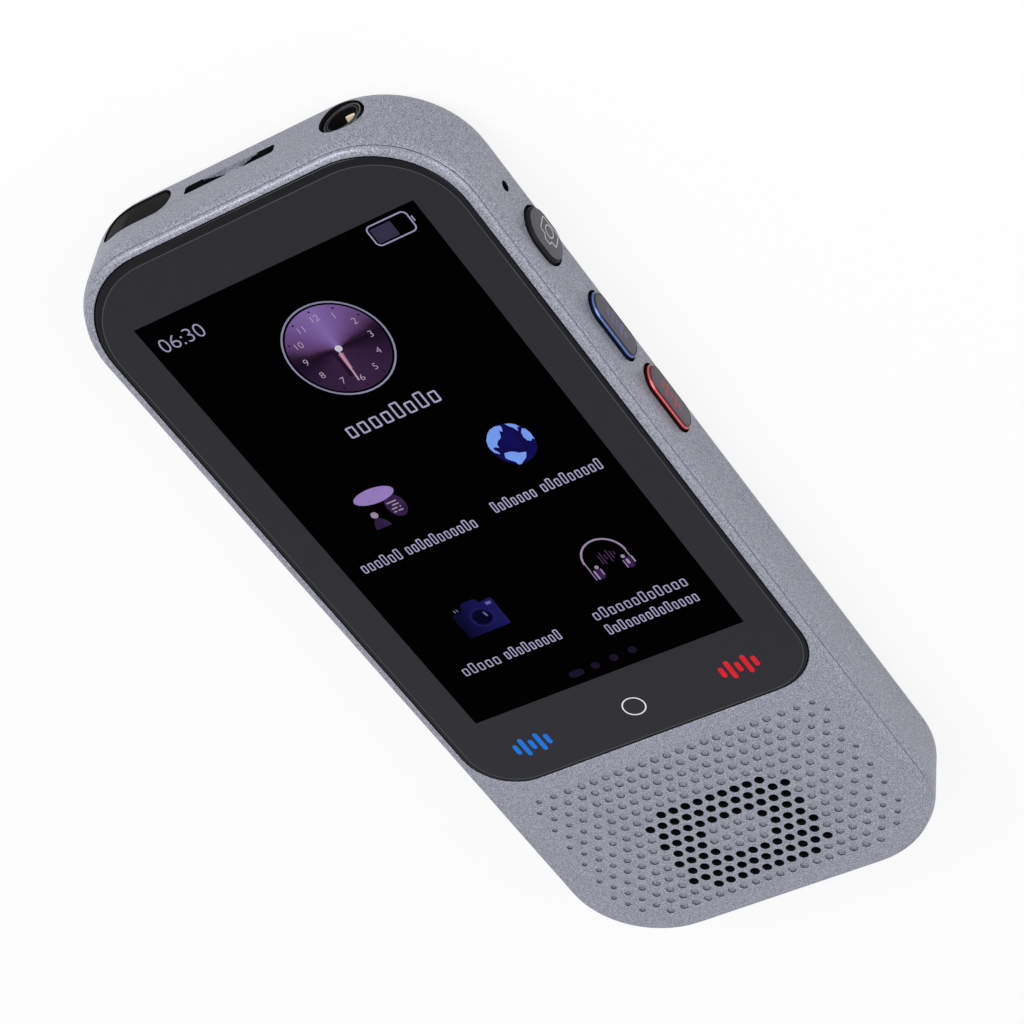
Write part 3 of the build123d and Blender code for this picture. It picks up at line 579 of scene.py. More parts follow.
# Faces under the lip, the recess walls round the glass and the hole walls get the near-black
# material: painted shade in the gap round the glass and inside the holes.
for face in front_plate.data.polygons:
    x, y, z = face.center / MM
    tilt = face.normal
    to_glass = tilt.x * x + tilt.y * (y - glass_middle_y) < -1 and tilt.z < 0.3
    in_grille = y < grille_top_y
    in_hole = in_grille and abs(x) < room_half_width and z < room_top
    if z < lip_level or (to_glass and not in_grille) or in_hole:
        face.material_index = 1
    elif in_grille and pit_bottom < z < pit_top and tilt.z < 0.4:
        face.material_index = 2
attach(front_plate, "case")
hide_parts("front_cover")

# --- Cover glass ----------------------------------------------------------------------
# One sheet of toughened glass with a softly rounded rim, printed dark grey on its
# underside round the display. It is glued into the front cover's recess.

glass_top_level = 11.185
display_width = 37.9
display_ends = (-17.4, 52.0)
bezel_black = finish(
    "bezel_black", (0.0095, 0.0085, 0.0135), (0.0115, 0.0103, 0.016), 0.6, (0.05, 0.07),
    ior=1.29,
)
display_black = finish(
    "display_black", (0.0, 0.0, 0.0), (0.0002, 0.0002, 0.0003), 0.5, (0.05, 0.07), ior=1.03,
)
# painted reflection: a light line just inside the glass's rounded rim
edge_reflection = finish(
    "edge_reflection", (0.04, 0.038, 0.043), (0.065, 0.062, 0.07), 0.15, (0.2, 0.3), ior=1.3,
)
rim_black = finish(
    "rim_black", (0.0045, 0.0043, 0.006), (0.006, 0.0057, 0.008), 0.8, (0.1, 0.16), ior=1.24,
)


def print_loop(inset, level):
    """The rounded rectangle of a light line just inside the rounded rim: a painted
    reflection of that edge.
    """
    return rounded_loop(
        23.4 - inset, -28.66 + inset, 59.05 - inset, 6.6 - inset, 10.5 - inset, level
    )


glass_loops = [
    glass_loop(0.06, 10.45), glass_loop(0.0, 10.5), glass_loop(0.0, 10.92),
    glass_loop(0.02, 11.0), glass_loop(0.06, 11.07), glass_loop(0.12, 11.125),
    glass_loop(0.2, 11.165), glass_loop(0.27, 11.18),
    print_loop(0.0, 11.182), print_loop(0.11, 11.183), print_loop(0.5, glass_top_level),
    rounded_loop(display_width / 2, *display_ends, 0.05, 0.05, glass_top_level),
]
# the rim's strips are darker, strip 8 is the painted reflection line and the last cap is the
# display
rim_strips = {strip: 3 for strip in range(8)}
cover = new_piece(
    "cover_pane", skin("cover_pane", glass_loops, False, {**rim_strips, 8: 2, 11: 1}),
    bezel_black, display_black, edge_reflection, rim_black,
)
smooth(cover.data)
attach(cover, "case")
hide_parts("cover_glass")

# --- Screen picture -------------------------------------------------------------------
# What the display shows: a clock dial, the time, a battery, four function pictures over
# rows of empty letter boxes, and the page dots. Thin lit shapes lie on the glass.

sheet_step = 0.003
round_sides = 48


def ink(colour):
    """A colour given as it is written on a screen, 0 to 255, in linear light."""
    return tuple(
        part / 255 / 12.92 if part <= 10 else ((part / 255 + 0.055) / 1.055) ** 2.4
        for part in colour
    )


def axis(surface, index):
    """The object's own x, y or z, in metres."""
    place = surface.add("ShaderNodeTexCoord", out="Object")
    return surface.add("ShaderNodeSeparateXYZ", {}, {0: place}, index)


def lit(name, low, high, scale=0.35, slope=0.0, middle=0.0):
    """A lit colour that drifts from low to high with a noise, and towards +X by slope
    per millimetre from the middle."""
    material, surface, inputs = new_material(name)
    value = noise(surface, scale)
    if slope:
        value = value * 0.3 + 0.35 + (axis(surface, 0) - middle * MM) * (slope / MM)
    value.blend(ink(low), ink(high)).feed(inputs["Emission Color"])
    inputs["Emission Strength"].default_value = 1.0
    inputs["Base Color"].default_value = (0, 0, 0, 1)
    inputs["Specular IOR Level"].default_value = 0.0
    return material


def lit_round(name, middle, stops):
    """A lit colour that changes with the angle round a middle, from straight above it
    (stop 0) by either side to straight below it (stop 1)."""
    material = lit(name, (0, 0, 0), (0, 0, 0))
    surface = Node(material.node_tree)
    aside = (axis(surface, 0) - middle[0] * MM).math("ABSOLUTE")
    up = axis(surface, 1) - middle[1] * MM
    turn = aside.math("ARCTAN2", up) / pi + noise(surface, 0.4) * 0.08 - 0.04
    stops = [(place, (*ink(colour), 1)) for place, colour in stops]
    colour = surface.add("ShaderNodeValToRGB", {"stops": stops}, {"Fac": turn})
    colour.feed(shader_inputs(material)["Emission Color"])
    return material


class Sheet:
    """Flat shapes on one plane, each a few microns above the one before."""

    def __init__(self, name, plane, paints):
        self.name = name
        self.plane = plane
        self.paints = list(paints)
        self.work = bmesh.new()

    def face(self, points, paint, layer=1):
        verts = [
            self.work.verts.new(self.plane @ (Vector((x, y, layer * sheet_step)) * MM))
            for x, y in points
        ]
        made = self.work.faces.new(verts)
        made.material_index = self.paints.index(paint)

    def blob(self, x, y, width, height, paint, layer=1, turn=0.0, sides=round_sides):
        """An ellipse, turned anticlockwise by an angle in degrees."""
        level, rise = cos(radians(turn)), sin(radians(turn))
        points = []
        for step in range(sides):
            angle = 2 * pi * step / sides
            a, b = cos(angle) * width / 2, sin(angle) * height / 2
            points.append((x + a * level - b * rise, y + a * rise + b * level))
        self.face(points, paint, layer)

    def bar(self, x, y, width, height, paint, layer=1, corner=None):
        """A bar with round ends, or with the corner radius given."""
        corner = min(width, height) / 2 if corner is None else corner
        points = []
        for sx, sy, start in ((1, -1, -90), (1, 1, 0), (-1, 1, 90), (-1, -1, 180)):
            for step in range(7):
                angle = radians(start + 15 * step)
                points.append((
                    x + sx * (width / 2 - corner) + corner * cos(angle),
                    y + sy * (height / 2 - corner) + corner * sin(angle),
                ))
        self.face(points, paint, layer)

    def strip(self, pairs, paint, layer):
        """A line of small faces between successive pairs of an inner and an outer point."""
        for (inner, outer), (next_inner, next_outer) in zip(pairs, pairs[1:]):
            self.face([inner, outer, next_outer, next_inner], paint, layer)

    def arc(self, x, y, radius, line, paint, layer=1, start=0.0, end=360.0, squash=1.0):
        """A ring or a part of one."""
        count = max(6, int(abs(end - start) / 7.5))
        pairs = []
        for step in range(count + 1):
            angle = radians(start + (end - start) * step / count)
            pairs.append([
                (x + reach * cos(angle), y + reach * sin(angle) * squash)
                for reach in (radius - line / 2, radius + line / 2)
            ])
        self.strip(pairs, paint, layer)

    def frame(self, x, y, width, height, corner, line, paint, layer=1):
        """An outlined rounded rectangle."""
        pairs = list(zip(*(
            [
                (x + px, y + py) for px, py, _ in rounded_loop(
                    width / 2 + grow, -height / 2 - grow, height / 2 + grow,
                    corner + grow, corner + grow, 0,
                )
            ]
            for grow in (-line / 2, line / 2)
        )))
        self.strip(pairs + pairs[:1], paint, layer)

    def outline(self, points, line, paint, layer=1):
        """A line of even width along a closed path of corners, given anticlockwise."""
        count = len(points)
        pairs = []
        for step in range(count):
            before, here, after = (
                Vector(points[(step + shift) % count]) for shift in (-1, 0, 1)
            )
            way_in, way_on = (here - before).normalized(), (after - here).normalized()
            across = Vector((-(way_in + way_on).y, (way_in + way_on).x)).normalized()
            reach = line / 2 / max(0.3, across.dot(Vector((-way_on.y, way_on.x))))
            pairs.append((here + across * reach, here - across * reach))
        self.strip(pairs + pairs[:1], paint, layer)

    def digits(self, text, x, y, size, paint, layer=1):
        """Figures in the standard face, thinned a little and centred on a point."""
        curve = bpy.data.curves.new("digits", "FONT")
        curve.body = text
        curve.size = size * MM
        curve.offset = -0.012 * size * MM
        curve.align_x = "CENTER"
        curve.align_y = "CENTER"
        holder = bpy.data.objects.new("digits", curve)
        bpy.context.scene.collection.objects.link(holder)
        graph = bpy.context.evaluated_depsgraph_get()
        mesh = bpy.data.meshes.new_from_object(holder.evaluated_get(graph))
        shift = Matrix.Translation(Vector((x, y, layer * sheet_step)) * MM)
        mesh.transform(self.plane @ shift)
        for face in mesh.polygons:
            face.material_index = self.paints.index(paint)
        self.work.from_mesh(mesh)
        bpy.data.objects.remove(holder)

    def done(self, body):
        mesh = bpy.data.meshes.new(self.name)
        self.work.to_mesh(mesh)
        self.work.free()
        piece = new_piece(self.name, mesh, *self.paints)
        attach(piece, body)
        return piece


lavender = lit("lavender_light", (142, 138, 168), (162, 157, 187))
word_grey = lit("word_light", (150, 146, 174), (172, 168, 198))
pale_pivot = lit("pale_pivot", (188, 184, 200), (206, 202, 216))
ring_light = lit("ring_light", (112, 112, 134), (152, 152, 180), 0.12)
dial_middle = (0.08, 39.08)
dial_purple = lit_round("dial_purple", dial_middle, (
    (0.0, (124, 100, 160)), (0.2, (108, 80, 138)), (0.35, (86, 60, 104)),
    (0.44, (42, 25, 46)), (0.5, (25, 14, 32)), (0.72, (47, 30, 56)), (1.0, (54, 34, 66)),
))
dial_dark = lit("dial_dark", (22, 11, 28), (40, 22, 48), 0.8)
hour_light = lit("hour_light", (158, 150, 170), (178, 170, 188))
hand_pink = lit("hand_pink", (160, 96, 110), (180, 118, 128), 0.8)
hand_pale = lit("hand_pale", (168, 140, 164), (184, 158, 180))
violet = lit("violet", (134, 110, 170), (156, 132, 194), 0.6)
plum = lit("plum", (30, 20, 46), (64, 42, 86), 0.7)
pale_rose = lit("pale_rose", (138, 122, 150), (162, 146, 168), 0.9)
sea_blue = lit("sea_blue", (12, 7, 52), (22, 20, 92), 0.5)
land_blue = lit("land_blue", (108, 142, 222), (126, 164, 246), 0.6)
camera_blue = lit("camera_blue", (8, 6, 26), (28, 28, 94), 0.7, 0.14, -8.6)
lens_dark = lit("lens_dark", (5, 4, 20), (10, 9, 42), 0.9)
lens_blue = lit("lens_blue", (24, 21, 68), (40, 36, 98), 0.9)
glint_blue = lit("glint_blue", (82, 90, 142), (108, 106, 156), 0.9)
wave_plum = lit("wave_plum", (54, 38, 60), (76, 48, 84), 0.9)
battery_fill = lit("battery_fill", (47, 44, 65), (56, 52, 77), 0.9)
dot_purple = lit("dot_purple", (22, 15, 33), (31, 22, 45), 0.9)

glass_plane = Matrix.Translation(Vector((0, 0, glass_top_level)) * MM)
screen = Sheet("screen_picture", glass_plane, (
    lavender, word_grey, pale_pivot, ring_light, dial_purple, dial_dark, hour_light,
    hand_pink, hand_pale, violet, plum, pale_rose, sea_blue, land_blue, camera_blue,
    lens_dark, lens_blue, glint_blue, wave_plum, battery_fill, dot_purple,
))

# the time, and the battery with its terminal
screen.digits("06:30", -14.75, 48.5, 2.78, lavender)
screen.frame(14.71, 49.95, 5.13, 2.8, 0.62, 0.18, lavender)
screen.bar(13.8, 49.9, 2.7, 2.05, battery_fill, corner=0.1)
screen.bar(17.6, 50.0, 0.16, 0.8, lavender)

# clock dial: a thin ring, a dark gap and the face with both hands at half past six
ring_radius = 6.26
dial_squash = 1.06
dial_x, dial_y = dial_middle
screen.blob(dial_x, dial_y, 11.8, 12.5, dial_purple)
screen.arc(dial_x, dial_y, ring_radius, 0.22, ring_light, 2, squash=dial_squash)
for hour in range(1, 13):
    angle = radians(90 - 30 * hour)
    across, along = cos(angle), sin(angle) * dial_squash
    screen.digits(
        str(hour), dial_x + 4.42 * across, dial_y + 4.42 * along, 1.3, hour_light, 3
    )
    screen.blob(
        dial_x + 5.45 * across, dial_y + 5.45 * along, 0.27, 0.27, dial_dark, 2, sides=12
    )
hand_shade = ((-1.0, 38.8), (-1.05, 35.2), (-0.6, 35.0), (-0.3, 38.6), (-0.5, 39.2))
hour_hand = ((-0.42, 38.4), (-0.5, 36.0), (-0.12, 36.0), (0.18, 38.4))
minute_hand = ((-0.22, 38.8), (-0.58, 34.25), (-0.37, 34.25), (0.0, 38.8))
screen.face(hand_shade, dial_dark, 3)
screen.face(hour_hand, hand_pink, 4)
screen.face(minute_hand, hand_pale, 5)
screen.blob(dial_x, dial_y, 0.9, 0.9, pale_pivot, 6, sides=24)


def word(left, right, base, height, letters):
    """A word's place: one empty box for each letter, some of them tall."""
    pitch = (right - left) / letters
    for index in range(letters):
        rise = height if (index * 5 + letters) % 7 in (0, 3) else 0.72 * height
        line = 0.1 * height
        screen.frame(
            left + (index + 0.5) * pitch, base + rise / 2, 0.68 * pitch - line, rise - line,
            0.1, line, word_grey,
        )


# captions: the town under the dial, then one or two words under each picture
for left, right, base, height, letters in (
    (-6.4, 6.5, 27.45, 2.35, 8), (-16.95, -11.1, 9.5, 1.7, 6), (-10.55, -0.5, 9.6, 1.7, 11),
    (2.15, 8.2, 10.4, 1.7, 7), (8.85, 17.2, 10.5, 1.7, 9), (-15.65, -10.1, -10.1, 1.7, 5),
    (-9.5, -1.4, -10.0, 1.7, 9), (3.4, 16.4, -9.4, 1.7, 12), (3.65, 16.35, -12.1, 1.7, 14),
):
    word(left, right, base, height, letters)

# a person with two speech bubbles
screen.blob(-7.4, 16.85, 2.45, 3.5, plum, 1)
screen.blob(-8.94, 19.22, 5.35, 2.25, violet, 2, -2)
for x, y, width in (
    (-7.62, 17.5, 1.36), (-7.37, 17.0, 0.94), (-7.8, 16.5, 0.86), (-7.03, 16.5, 0.24),
    (-8.0, 16.0, 0.42), (-7.27, 16.0, 0.72),
):
    screen.bar(x, y, width, 0.2, pale_rose, 3)
screen.blob(-10.56, 16.67, 0.92, 0.98, pale_rose, 2, sides=24)
screen.face([
    (-11.58, 14.6), (-9.47, 14.6), (-9.6, 15.2), (-10.0, 15.85), (-10.35, 16.15),
    (-10.75, 16.15), (-11.1, 15.85), (-11.45, 15.2),
], plum)

# globe with its continents
screen.blob(9.72, 18.42, 5.45, 6.1, sea_blue)
for coast in (
    ((7.0, 18.9), (7.15, 18.2), (7.62, 17.7), (7.65, 18.0), (7.35, 18.6), (7.5, 18.9),
     (7.75, 18.8), (8.05, 18.55), (8.1, 19.1), (8.5, 19.5), (9.0, 19.7), (9.2, 20.05),
     (9.4, 20.65), (9.7, 20.4), (9.95, 20.95), (9.9, 21.3), (9.3, 21.45), (8.5, 21.3),
     (7.85, 20.8), (7.3, 20.1), (7.05, 19.35)),
    ((10.5, 21.25), (10.75, 20.75), (11.05, 20.4), (11.2, 19.95), (11.35, 19.65),
     (11.5, 20.2), (11.8, 20.1), (11.55, 20.65), (11.05, 21.05)),
    ((11.35, 18.6), (11.5, 18.0), (11.85, 17.75), (12.15, 18.0), (12.35, 17.8),
     (12.4, 18.85), (12.2, 19.6), (11.9, 19.8), (11.5, 19.35)),
    ((7.85, 17.0), (8.0, 16.6), (8.55, 15.95), (8.65, 15.45), (9.0, 15.35), (9.4, 15.6),
     (9.95, 15.9), (10.25, 16.3), (10.45, 16.65), (9.65, 16.9), (9.25, 17.3),
     (8.7, 17.55), (8.1, 17.6)),
):
    screen.face(coast, land_blue, 2)

# camera
screen.face([
    (-11.55, -5.05), (-5.75, -5.0), (-5.62, -0.5), (-5.85, -0.33), (-7.3, -0.5),
    (-7.55, 0.15), (-7.85, 0.3), (-9.3, 0.3), (-9.65, 0.1), (-9.85, -0.7), (-11.3, -0.95),
    (-11.5, -1.15),
], camera_blue)
screen.blob(-8.25, -2.69, 2.4, 2.4, lens_dark, 2, sides=32)
screen.arc(-8.25, -2.69, 1.48, 0.14, lens_blue, 2)
screen.blob(-7.67, -2.4, 0.28, 0.95, glint_blue, 3, 12, sides=16)
screen.blob(-9.5, -2.9, 0.28, 0.7, lens_blue, 3, 8, sides=16)
screen.bar(-6.37, -1.03, 0.72, 0.48, glint_blue, 2, corner=0.1)
screen.bar(-5.75, -2.7, 0.14, 4.2, lens_blue, 2)
for x, y in ((-10.8, -0.5), (-10.44, -0.46)):
    screen.blob(x, y, 0.2, 0.5, glint_blue, 2, sides=12)

# headphones round a small wave
screen.arc(9.83, -1.22, 2.75, 0.25, pale_rose, 1, 0, 180, 1.06)
for x, y, width, height, paint, layer in (
    (7.12, -1.85, 0.15, 1.3, pale_rose, 1), (12.54, -1.75, 0.15, 1.2, pale_rose, 1),
    (7.95, -3.1, 0.95, 1.8, plum, 1), (11.95, -3.1, 0.95, 1.8, plum, 1),
    (8.1, -2.1, 0.5, 0.55, pale_rose, 2), (7.5, -3.2, 0.25, 1.5, pale_rose, 2),
    (8.35, -3.0, 0.18, 1.0, violet, 2), (7.08, -3.2, 0.13, 1.4, violet, 2),
    (11.75, -2.0, 0.48, 0.55, pale_rose, 2), (11.9, -2.95, 0.34, 0.85, pale_rose, 2),
    (11.42, -3.2, 0.13, 1.3, violet, 2), (12.65, -2.85, 0.22, 1.1, pale_rose, 2),
    (9.16, -1.34, 0.16, 1.45, wave_plum, 1), (9.52, -1.2, 0.16, 2.0, wave_plum, 1),
    (9.94, -1.18, 0.16, 0.86, wave_plum, 1), (10.36, -1.2, 0.16, 1.95, wave_plum, 1),
    (10.75, -1.2, 0.16, 1.25, wave_plum, 1), (11.14, -1.06, 0.16, 0.6, wave_plum, 1),
):
    screen.bar(x, y, width, height, paint, layer)

# page dots
screen.bar(-3.25, -15.65, 2.05, 1.1, dot_purple)
for x, y in ((-0.52, -15.55), (2.15, -15.45), (4.8, -15.35)):
    screen.blob(x, y, 1.12, 1.12, dot_purple, sides=24)
screen.done("case")

# --- Touch marks below the display ------------------------------------------------------
# A white home ring between the two talk marks, which have the colours of the two talk
# keys. They are printed on the glass's back and lit from behind.

mark_white = lit("mark_white", (226, 226, 230), (240, 240, 242))
mark_blue = lit("mark_blue", (30, 108, 208), (40, 124, 224))
mark_red = lit("mark_red", (206, 34, 46), (226, 44, 56))
wave_bars = ((-2, 0.56), (-1, 1.0), (0, 0.54), (1, 1.0), (2, 0.56))


def wave(sheet, x, y, pitch, line, height, paint):
    """Five upright strokes, short and long by turns."""
    for index, part in wave_bars:
        sheet.bar(x + index * pitch, y, line, height * part, paint)


marks = Sheet("touch_marks", glass_plane, (mark_white, mark_blue, mark_red))
marks.arc(0.0, -23.55, 1.43, 0.17, mark_white)
wave(marks, -14.65, -23.55, 1.115, 0.64, 3.1, mark_blue)
wave(marks, 14.68, -23.5, 1.115, 0.64, 3.1, mark_red)
marks.done("case")

# --- Keys -----------------------------------------------------------------------------
# Two long talk keys and an oval camera key in the right-hand wall, and a power key round
# the far end's left corner: dark moulded caps, sprung from behind. A talk key's cap sits
# in a bright anodised ring with a bevelled front edge.

key_grey = finish(
    "key_grey", (0.066, 0.063, 0.078), (0.088, 0.083, 0.1), 5.0, (0.4, 0.5), 0.0, 0.004,
    ior=1.35,
)
# Near black for the camera key's sides: painted shade on the faces turned from the light.
key_side = finish(
    "key_side", (0.008, 0.008, 0.009), (0.016, 0.016, 0.018), 4.0, (0.45, 0.6), ior=1.2,
)
rim_tones = {
    "blue": ((0.08, 0.135, 0.33), (0.13, 0.19, 0.43), (0.004, 0.006, 0.02)),
    "red": ((0.56, 0.07, 0.09), (0.7, 0.13, 0.15), (0.022, 0.003, 0.004)),
}
wall_face_x = body_width / 2
shade_start = 0.43                      # the bevel is shaded from this height over the wall
shade_run = 0.06                        # over which the shade sets in
shade_part = 0.16
for colour, (dark, light, shade) in rim_tones.items():
    bright = finish(f"rim_{colour}", dark, light, 3.0, (0.2, 0.3), 0.6)
    base = shader_inputs(bright)["Base Color"]
    whole = Node(bright.node_tree, base.links[0].from_socket)
    # the bevel's inner half and the front edge stay in the shade of the bright outer half
    height = axis(whole, 0) / MM - wall_face_x
    inner = whole.add("ShaderNodeClamp", {}, {0: (height - shade_start) / shade_run})
    whole.add(
        "ShaderNodeMix", {"data_type": "RGBA"},
        {0: inner, 6: whole, 7: (*(part * shade_part for part in dark), 1)}, 2,
    ).feed(base)
    # painted shade: the rim's faces other than its outer bevel take a near-black of its
    # colour
    deep = finish(f"rim_{colour}_side", shade, shade, 3.0, (0.4, 0.5), ior=1.2)
    rim = copy_of(f"{colour}_key_rim", f"{colour}_rim", bright, 0.04)
    rim.data.materials.append(deep)
    for face in rim.data.polygons:
        outside = face.center.x > (wall_face_x + 0.2) * MM
        face.material_index = 0 if outside and face.normal.x > 0.3 else 1
    cap = copy_of(f"{colour}_key_cap", f"{colour}_cap", key_grey, 0.02)
    for piece, node, slot in ((rim, "rim", f"rim_{colour}"), (cap, "cap", "key_grey")):
        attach(piece, f"{colour}_key")
        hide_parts(f"{colour}_key_{node}")

camera_button = copy_of("camera_key", "camera_button", key_grey, 0.06)
camera_button.data.materials.append(key_side)
for face in camera_button.data.polygons:
    face.material_index = 0 if face.normal.x > 0.9 else 1
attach(camera_button, "camera_shutter_key")
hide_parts("camera_key")

# The marks on the keys glow: painted light, as bright under any lamp.
button_white_glow = lit("button_white_glow", (178, 178, 180), (204, 204, 206))
button_blue_glow = lit("button_blue_glow", (104, 106, 148), (128, 128, 168))
button_red_glow = lit("button_red_glow", (176, 72, 82), (198, 92, 100))
key_wave = ((-2, 0.85), (-1, 1.8), (0, 0.85), (1, 1.8), (2, 0.85))
key_wave_pitch = 0.93
key_wave_width = 0.36
key_wave_level = 4.7
key_wave_line = 0.11


def wall_plane(x):
    """A plane on the right-hand wall: its x runs along +Y and its y along +Z."""
    return Matrix((
        (0, 0, 1, x * MM), (1, 0, 0, 0), (0, 1, 0, 0), (0, 0, 0, 1)
    ))


for colour, paint, y in (("blue", button_blue_glow, 23.4), ("red", button_red_glow, 11.65)):
    sign = Sheet(f"{colour}_key_mark", wall_plane(26.1), (paint,))
    for step, height in key_wave:
        sign.frame(
            y + key_wave_pitch * step, key_wave_level, key_wave_width, height,
            key_wave_width / 2, key_wave_line, paint,
        )
    sign.done(f"{colour}_key")

sign = Sheet("camera_key_mark", wall_plane(26.0), (button_white_glow,))
sign.outline([
    (35.75, 3.2), (35.95, 3.02), (38.75, 3.02), (38.95, 3.2), (38.95, 4.97), (38.75, 5.15),
    (38.1, 5.2), (37.85, 5.85), (36.95, 5.85), (36.7, 5.2), (35.95, 5.15), (35.75, 4.97),
], 0.14, button_white_glow)
sign.arc(37.38, 4.08, 0.78, 0.14, button_white_glow)
sign.done("camera_shutter_key")

power_black = finish(
    "power_black", (0.006, 0.006, 0.006), (0.010, 0.010, 0.010), 2.0, (0.35, 0.45), ior=1.08,
)
power_button = copy_of("power_key", "power_pill", power_black, 0.15, 3)
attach(power_button, "power_button")
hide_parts("power_key")

# --- Headphone socket -------------------------------------------------------------------
# A black moulded socket whose round collar stands a little behind the wall. Three gold
# leaf springs reach into its bore, the first of them right behind the mouth.

socket_middle = Vector((14.8, 0, 4.7))
ring_sides = 64
collar_grey = finish(
    "collar_grey", (0.05, 0.05, 0.054), (0.075, 0.075, 0.08), 4.0, (0.35, 0.45), ior=1.3,
)
socket_body = copy_of("headphone_jack", "headphone_socket", hollow_dark, 0.1, 3)
collar_level = max(vertex.co.y for vertex in socket_body.data.vertices) / MM
for name, outer, inner, raise_by in (
    ("collar_rim", 2.36, 2.2, 0.05), ("collar_step", 1.98, 1.9, 0.03)
):
    ring_loops = []
    for radius, level in (
        (inner, -0.1), (outer, -0.1), (outer, raise_by - 0.03), (outer - 0.03, raise_by),
        (inner + 0.03, raise_by), (inner, raise_by - 0.03),
    ):
        ring_loops.append([
            (
                socket_middle.x + radius * cos(2 * pi * side_shade / ring_sides),
                collar_level + level,
                socket_middle.z + radius * sin(2 * pi * side_shade / ring_sides),
            )
            for side_shade in range(ring_sides)
        ])
    ring = new_piece(name, skin(name, ring_loops, True), collar_grey)
    smooth(ring.data, 40)
    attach(ring, "case")
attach(socket_body, "case")
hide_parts("headphone_jack")

gold = finish(
    "contact_gold", (0.85, 0.66, 0.42), (1.0, 0.9, 0.72), 3.0, (0.2, 0.3), 0.3,
)
# where each leaf starts and ends along the bore, with its distance from the bore's axis
leaf_bend = ((0.0, 1.72), (0.1, 1.6), (0.45, 1.45), (0.8, 1.4), (1.1, 1.5), (1.4, 1.7))
leaf_half = 0.58
leaf_thickness = 0.12
leaf_outline = [(side_shade, 0) for side_shade in (-1, -0.5, 0.5, 1)]
leaf_outline += [(side_shade, leaf_thickness) for side_shade in (1, 0.5, -0.5, -1)]
leaves = []
for turn, end in ((177, 60.15), (90, 55.2), (180, 51.7)):
    spin = Matrix.Rotation(radians(turn), 3, "Y")
    leaves.append(skin("leaf", [
        [
            socket_middle + Vector((0, end - along, 0))
            + spin @ Vector((side_shade * leaf_half, 0, radius + lift))
            for side_shade, lift in leaf_outline
        ]
        for along, radius in leaf_bend
    ], False))
gold_leaves = new_piece("gold_leaves", merged("gold_leaves", leaves), gold)
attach(gold_leaves, "case")
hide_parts("jack_contacts")

# --- Everything under the covers --------------------------------------------------------
# The parts inside the case keep their plain shapes and get the finish of what they are:
# solder mask, bare steel, foil, foam, amber flex and black mouldings.

for name, nodes, dark, light, scale, roughness, metallic in (
    ("adhesive_black", "glass_adhesive",
     (0.010, 0.010, 0.010), (0.02, 0.02, 0.02), 2.0, (0.6, 0.8), 0.0),
    ("panel_black", "display_panel",
     (0.003, 0.003, 0.004), (0.006, 0.006, 0.007), 0.5, (0.1, 0.2), 0.0),
    ("bare_steel",
     "backlight shield_cans power_switch key_bracket key_switches "
     "usb_c_socket",
     (0.42, 0.42, 0.43), (0.55, 0.55, 0.56), 2.0, (0.25, 0.4), 0.9),
    ("chassis_grey", "chassis",
     (0.018, 0.018, 0.02), (0.03, 0.03, 0.032), 2.0, (0.5, 0.7), 0.0),
    ("screw_steel", "chassis_screws board_screws bottom_screws",
     (0.16, 0.16, 0.165), (0.24, 0.24, 0.25), 5.0, (0.3, 0.45), 0.9),
    ("solder_mask", "main_board bottom_board",
     (0.006, 0.045, 0.022), (0.012, 0.07, 0.035), 1.5, (0.25, 0.4), 0.0),
    ("flex_amber", "display_flex board_flex key_flex",
     (0.2, 0.08, 0.012), (0.28, 0.12, 0.02), 1.0, (0.3, 0.4), 0.0),
    ("flex_black", "antenna_flex",
     (0.006, 0.006, 0.006), (0.012, 0.012, 0.012), 1.0, (0.4, 0.5), 0.0),
    ("battery_foil", "battery",
     (0.38, 0.38, 0.39), (0.5, 0.5, 0.51), 0.4, (0.35, 0.5), 0.7),
    ("tape_white", "battery_tape",
     (0.55, 0.55, 0.5), (0.65, 0.65, 0.6), 1.0, (0.7, 0.8), 0.0),
    ("wire_red", "battery_lead",
     (0.25, 0.012, 0.01), (0.35, 0.02, 0.015), 1.0, (0.4, 0.5), 0.0),
    ("driver_black", "speaker_driver",
     (0.006, 0.006, 0.007), (0.012, 0.012, 0.013), 2.0, (0.5, 0.7), 0.0),
    ("foam_black", "speaker_gasket microphone_gasket",
     (0.004, 0.004, 0.004), (0.012, 0.012, 0.012), 6.0, (0.8, 0.95), 0.0),
    ("mesh_black", "speaker_mesh",
     (0.002, 0.002, 0.0025), (0.006, 0.006, 0.007), 8.0, (0.7, 0.9), 0.0),
    ("can_nickel", "bottom_microphone side_microphone",
     (0.35, 0.31, 0.2), (0.45, 0.4, 0.28), 2.0, (0.3, 0.4), 0.9),
    ("camera_black", "camera_module",
     (0.004, 0.004, 0.005), (0.009, 0.009, 0.01), 2.0, (0.2, 0.3), 0.0),
    ("ring_grey", "camera_ring",
     (0.07, 0.07, 0.075), (0.1, 0.1, 0.105), 3.0, (0.25, 0.35), 0.9),
    ("window_black", "camera_window",
     (0.002, 0.002, 0.003), (0.004, 0.004, 0.006), 1.0, (0.03, 0.06), 0.0),
    ("flash_cream", "flash_lens",
     (0.55, 0.53, 0.42), (0.7, 0.68, 0.55), 2.5, (0.15, 0.3), 0.0),
    ("led_yellow", "flash_led",
     (0.6, 0.45, 0.03), (0.75, 0.55, 0.05), 2.0, (0.4, 0.5), 0.0),
):
    material = finish(name, dark, light, scale, roughness, metallic)
    for node in nodes.split():
        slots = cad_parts[node].data.materials
        slots.clear()
        slots.append(material)

# --- Floor, light and camera ------------------------------------------------------------
# A wide pale floor that the device lies on, open under its flat back and clear from
# below, a soft white surround, a large soft lamp overhead and a weaker one at the side.

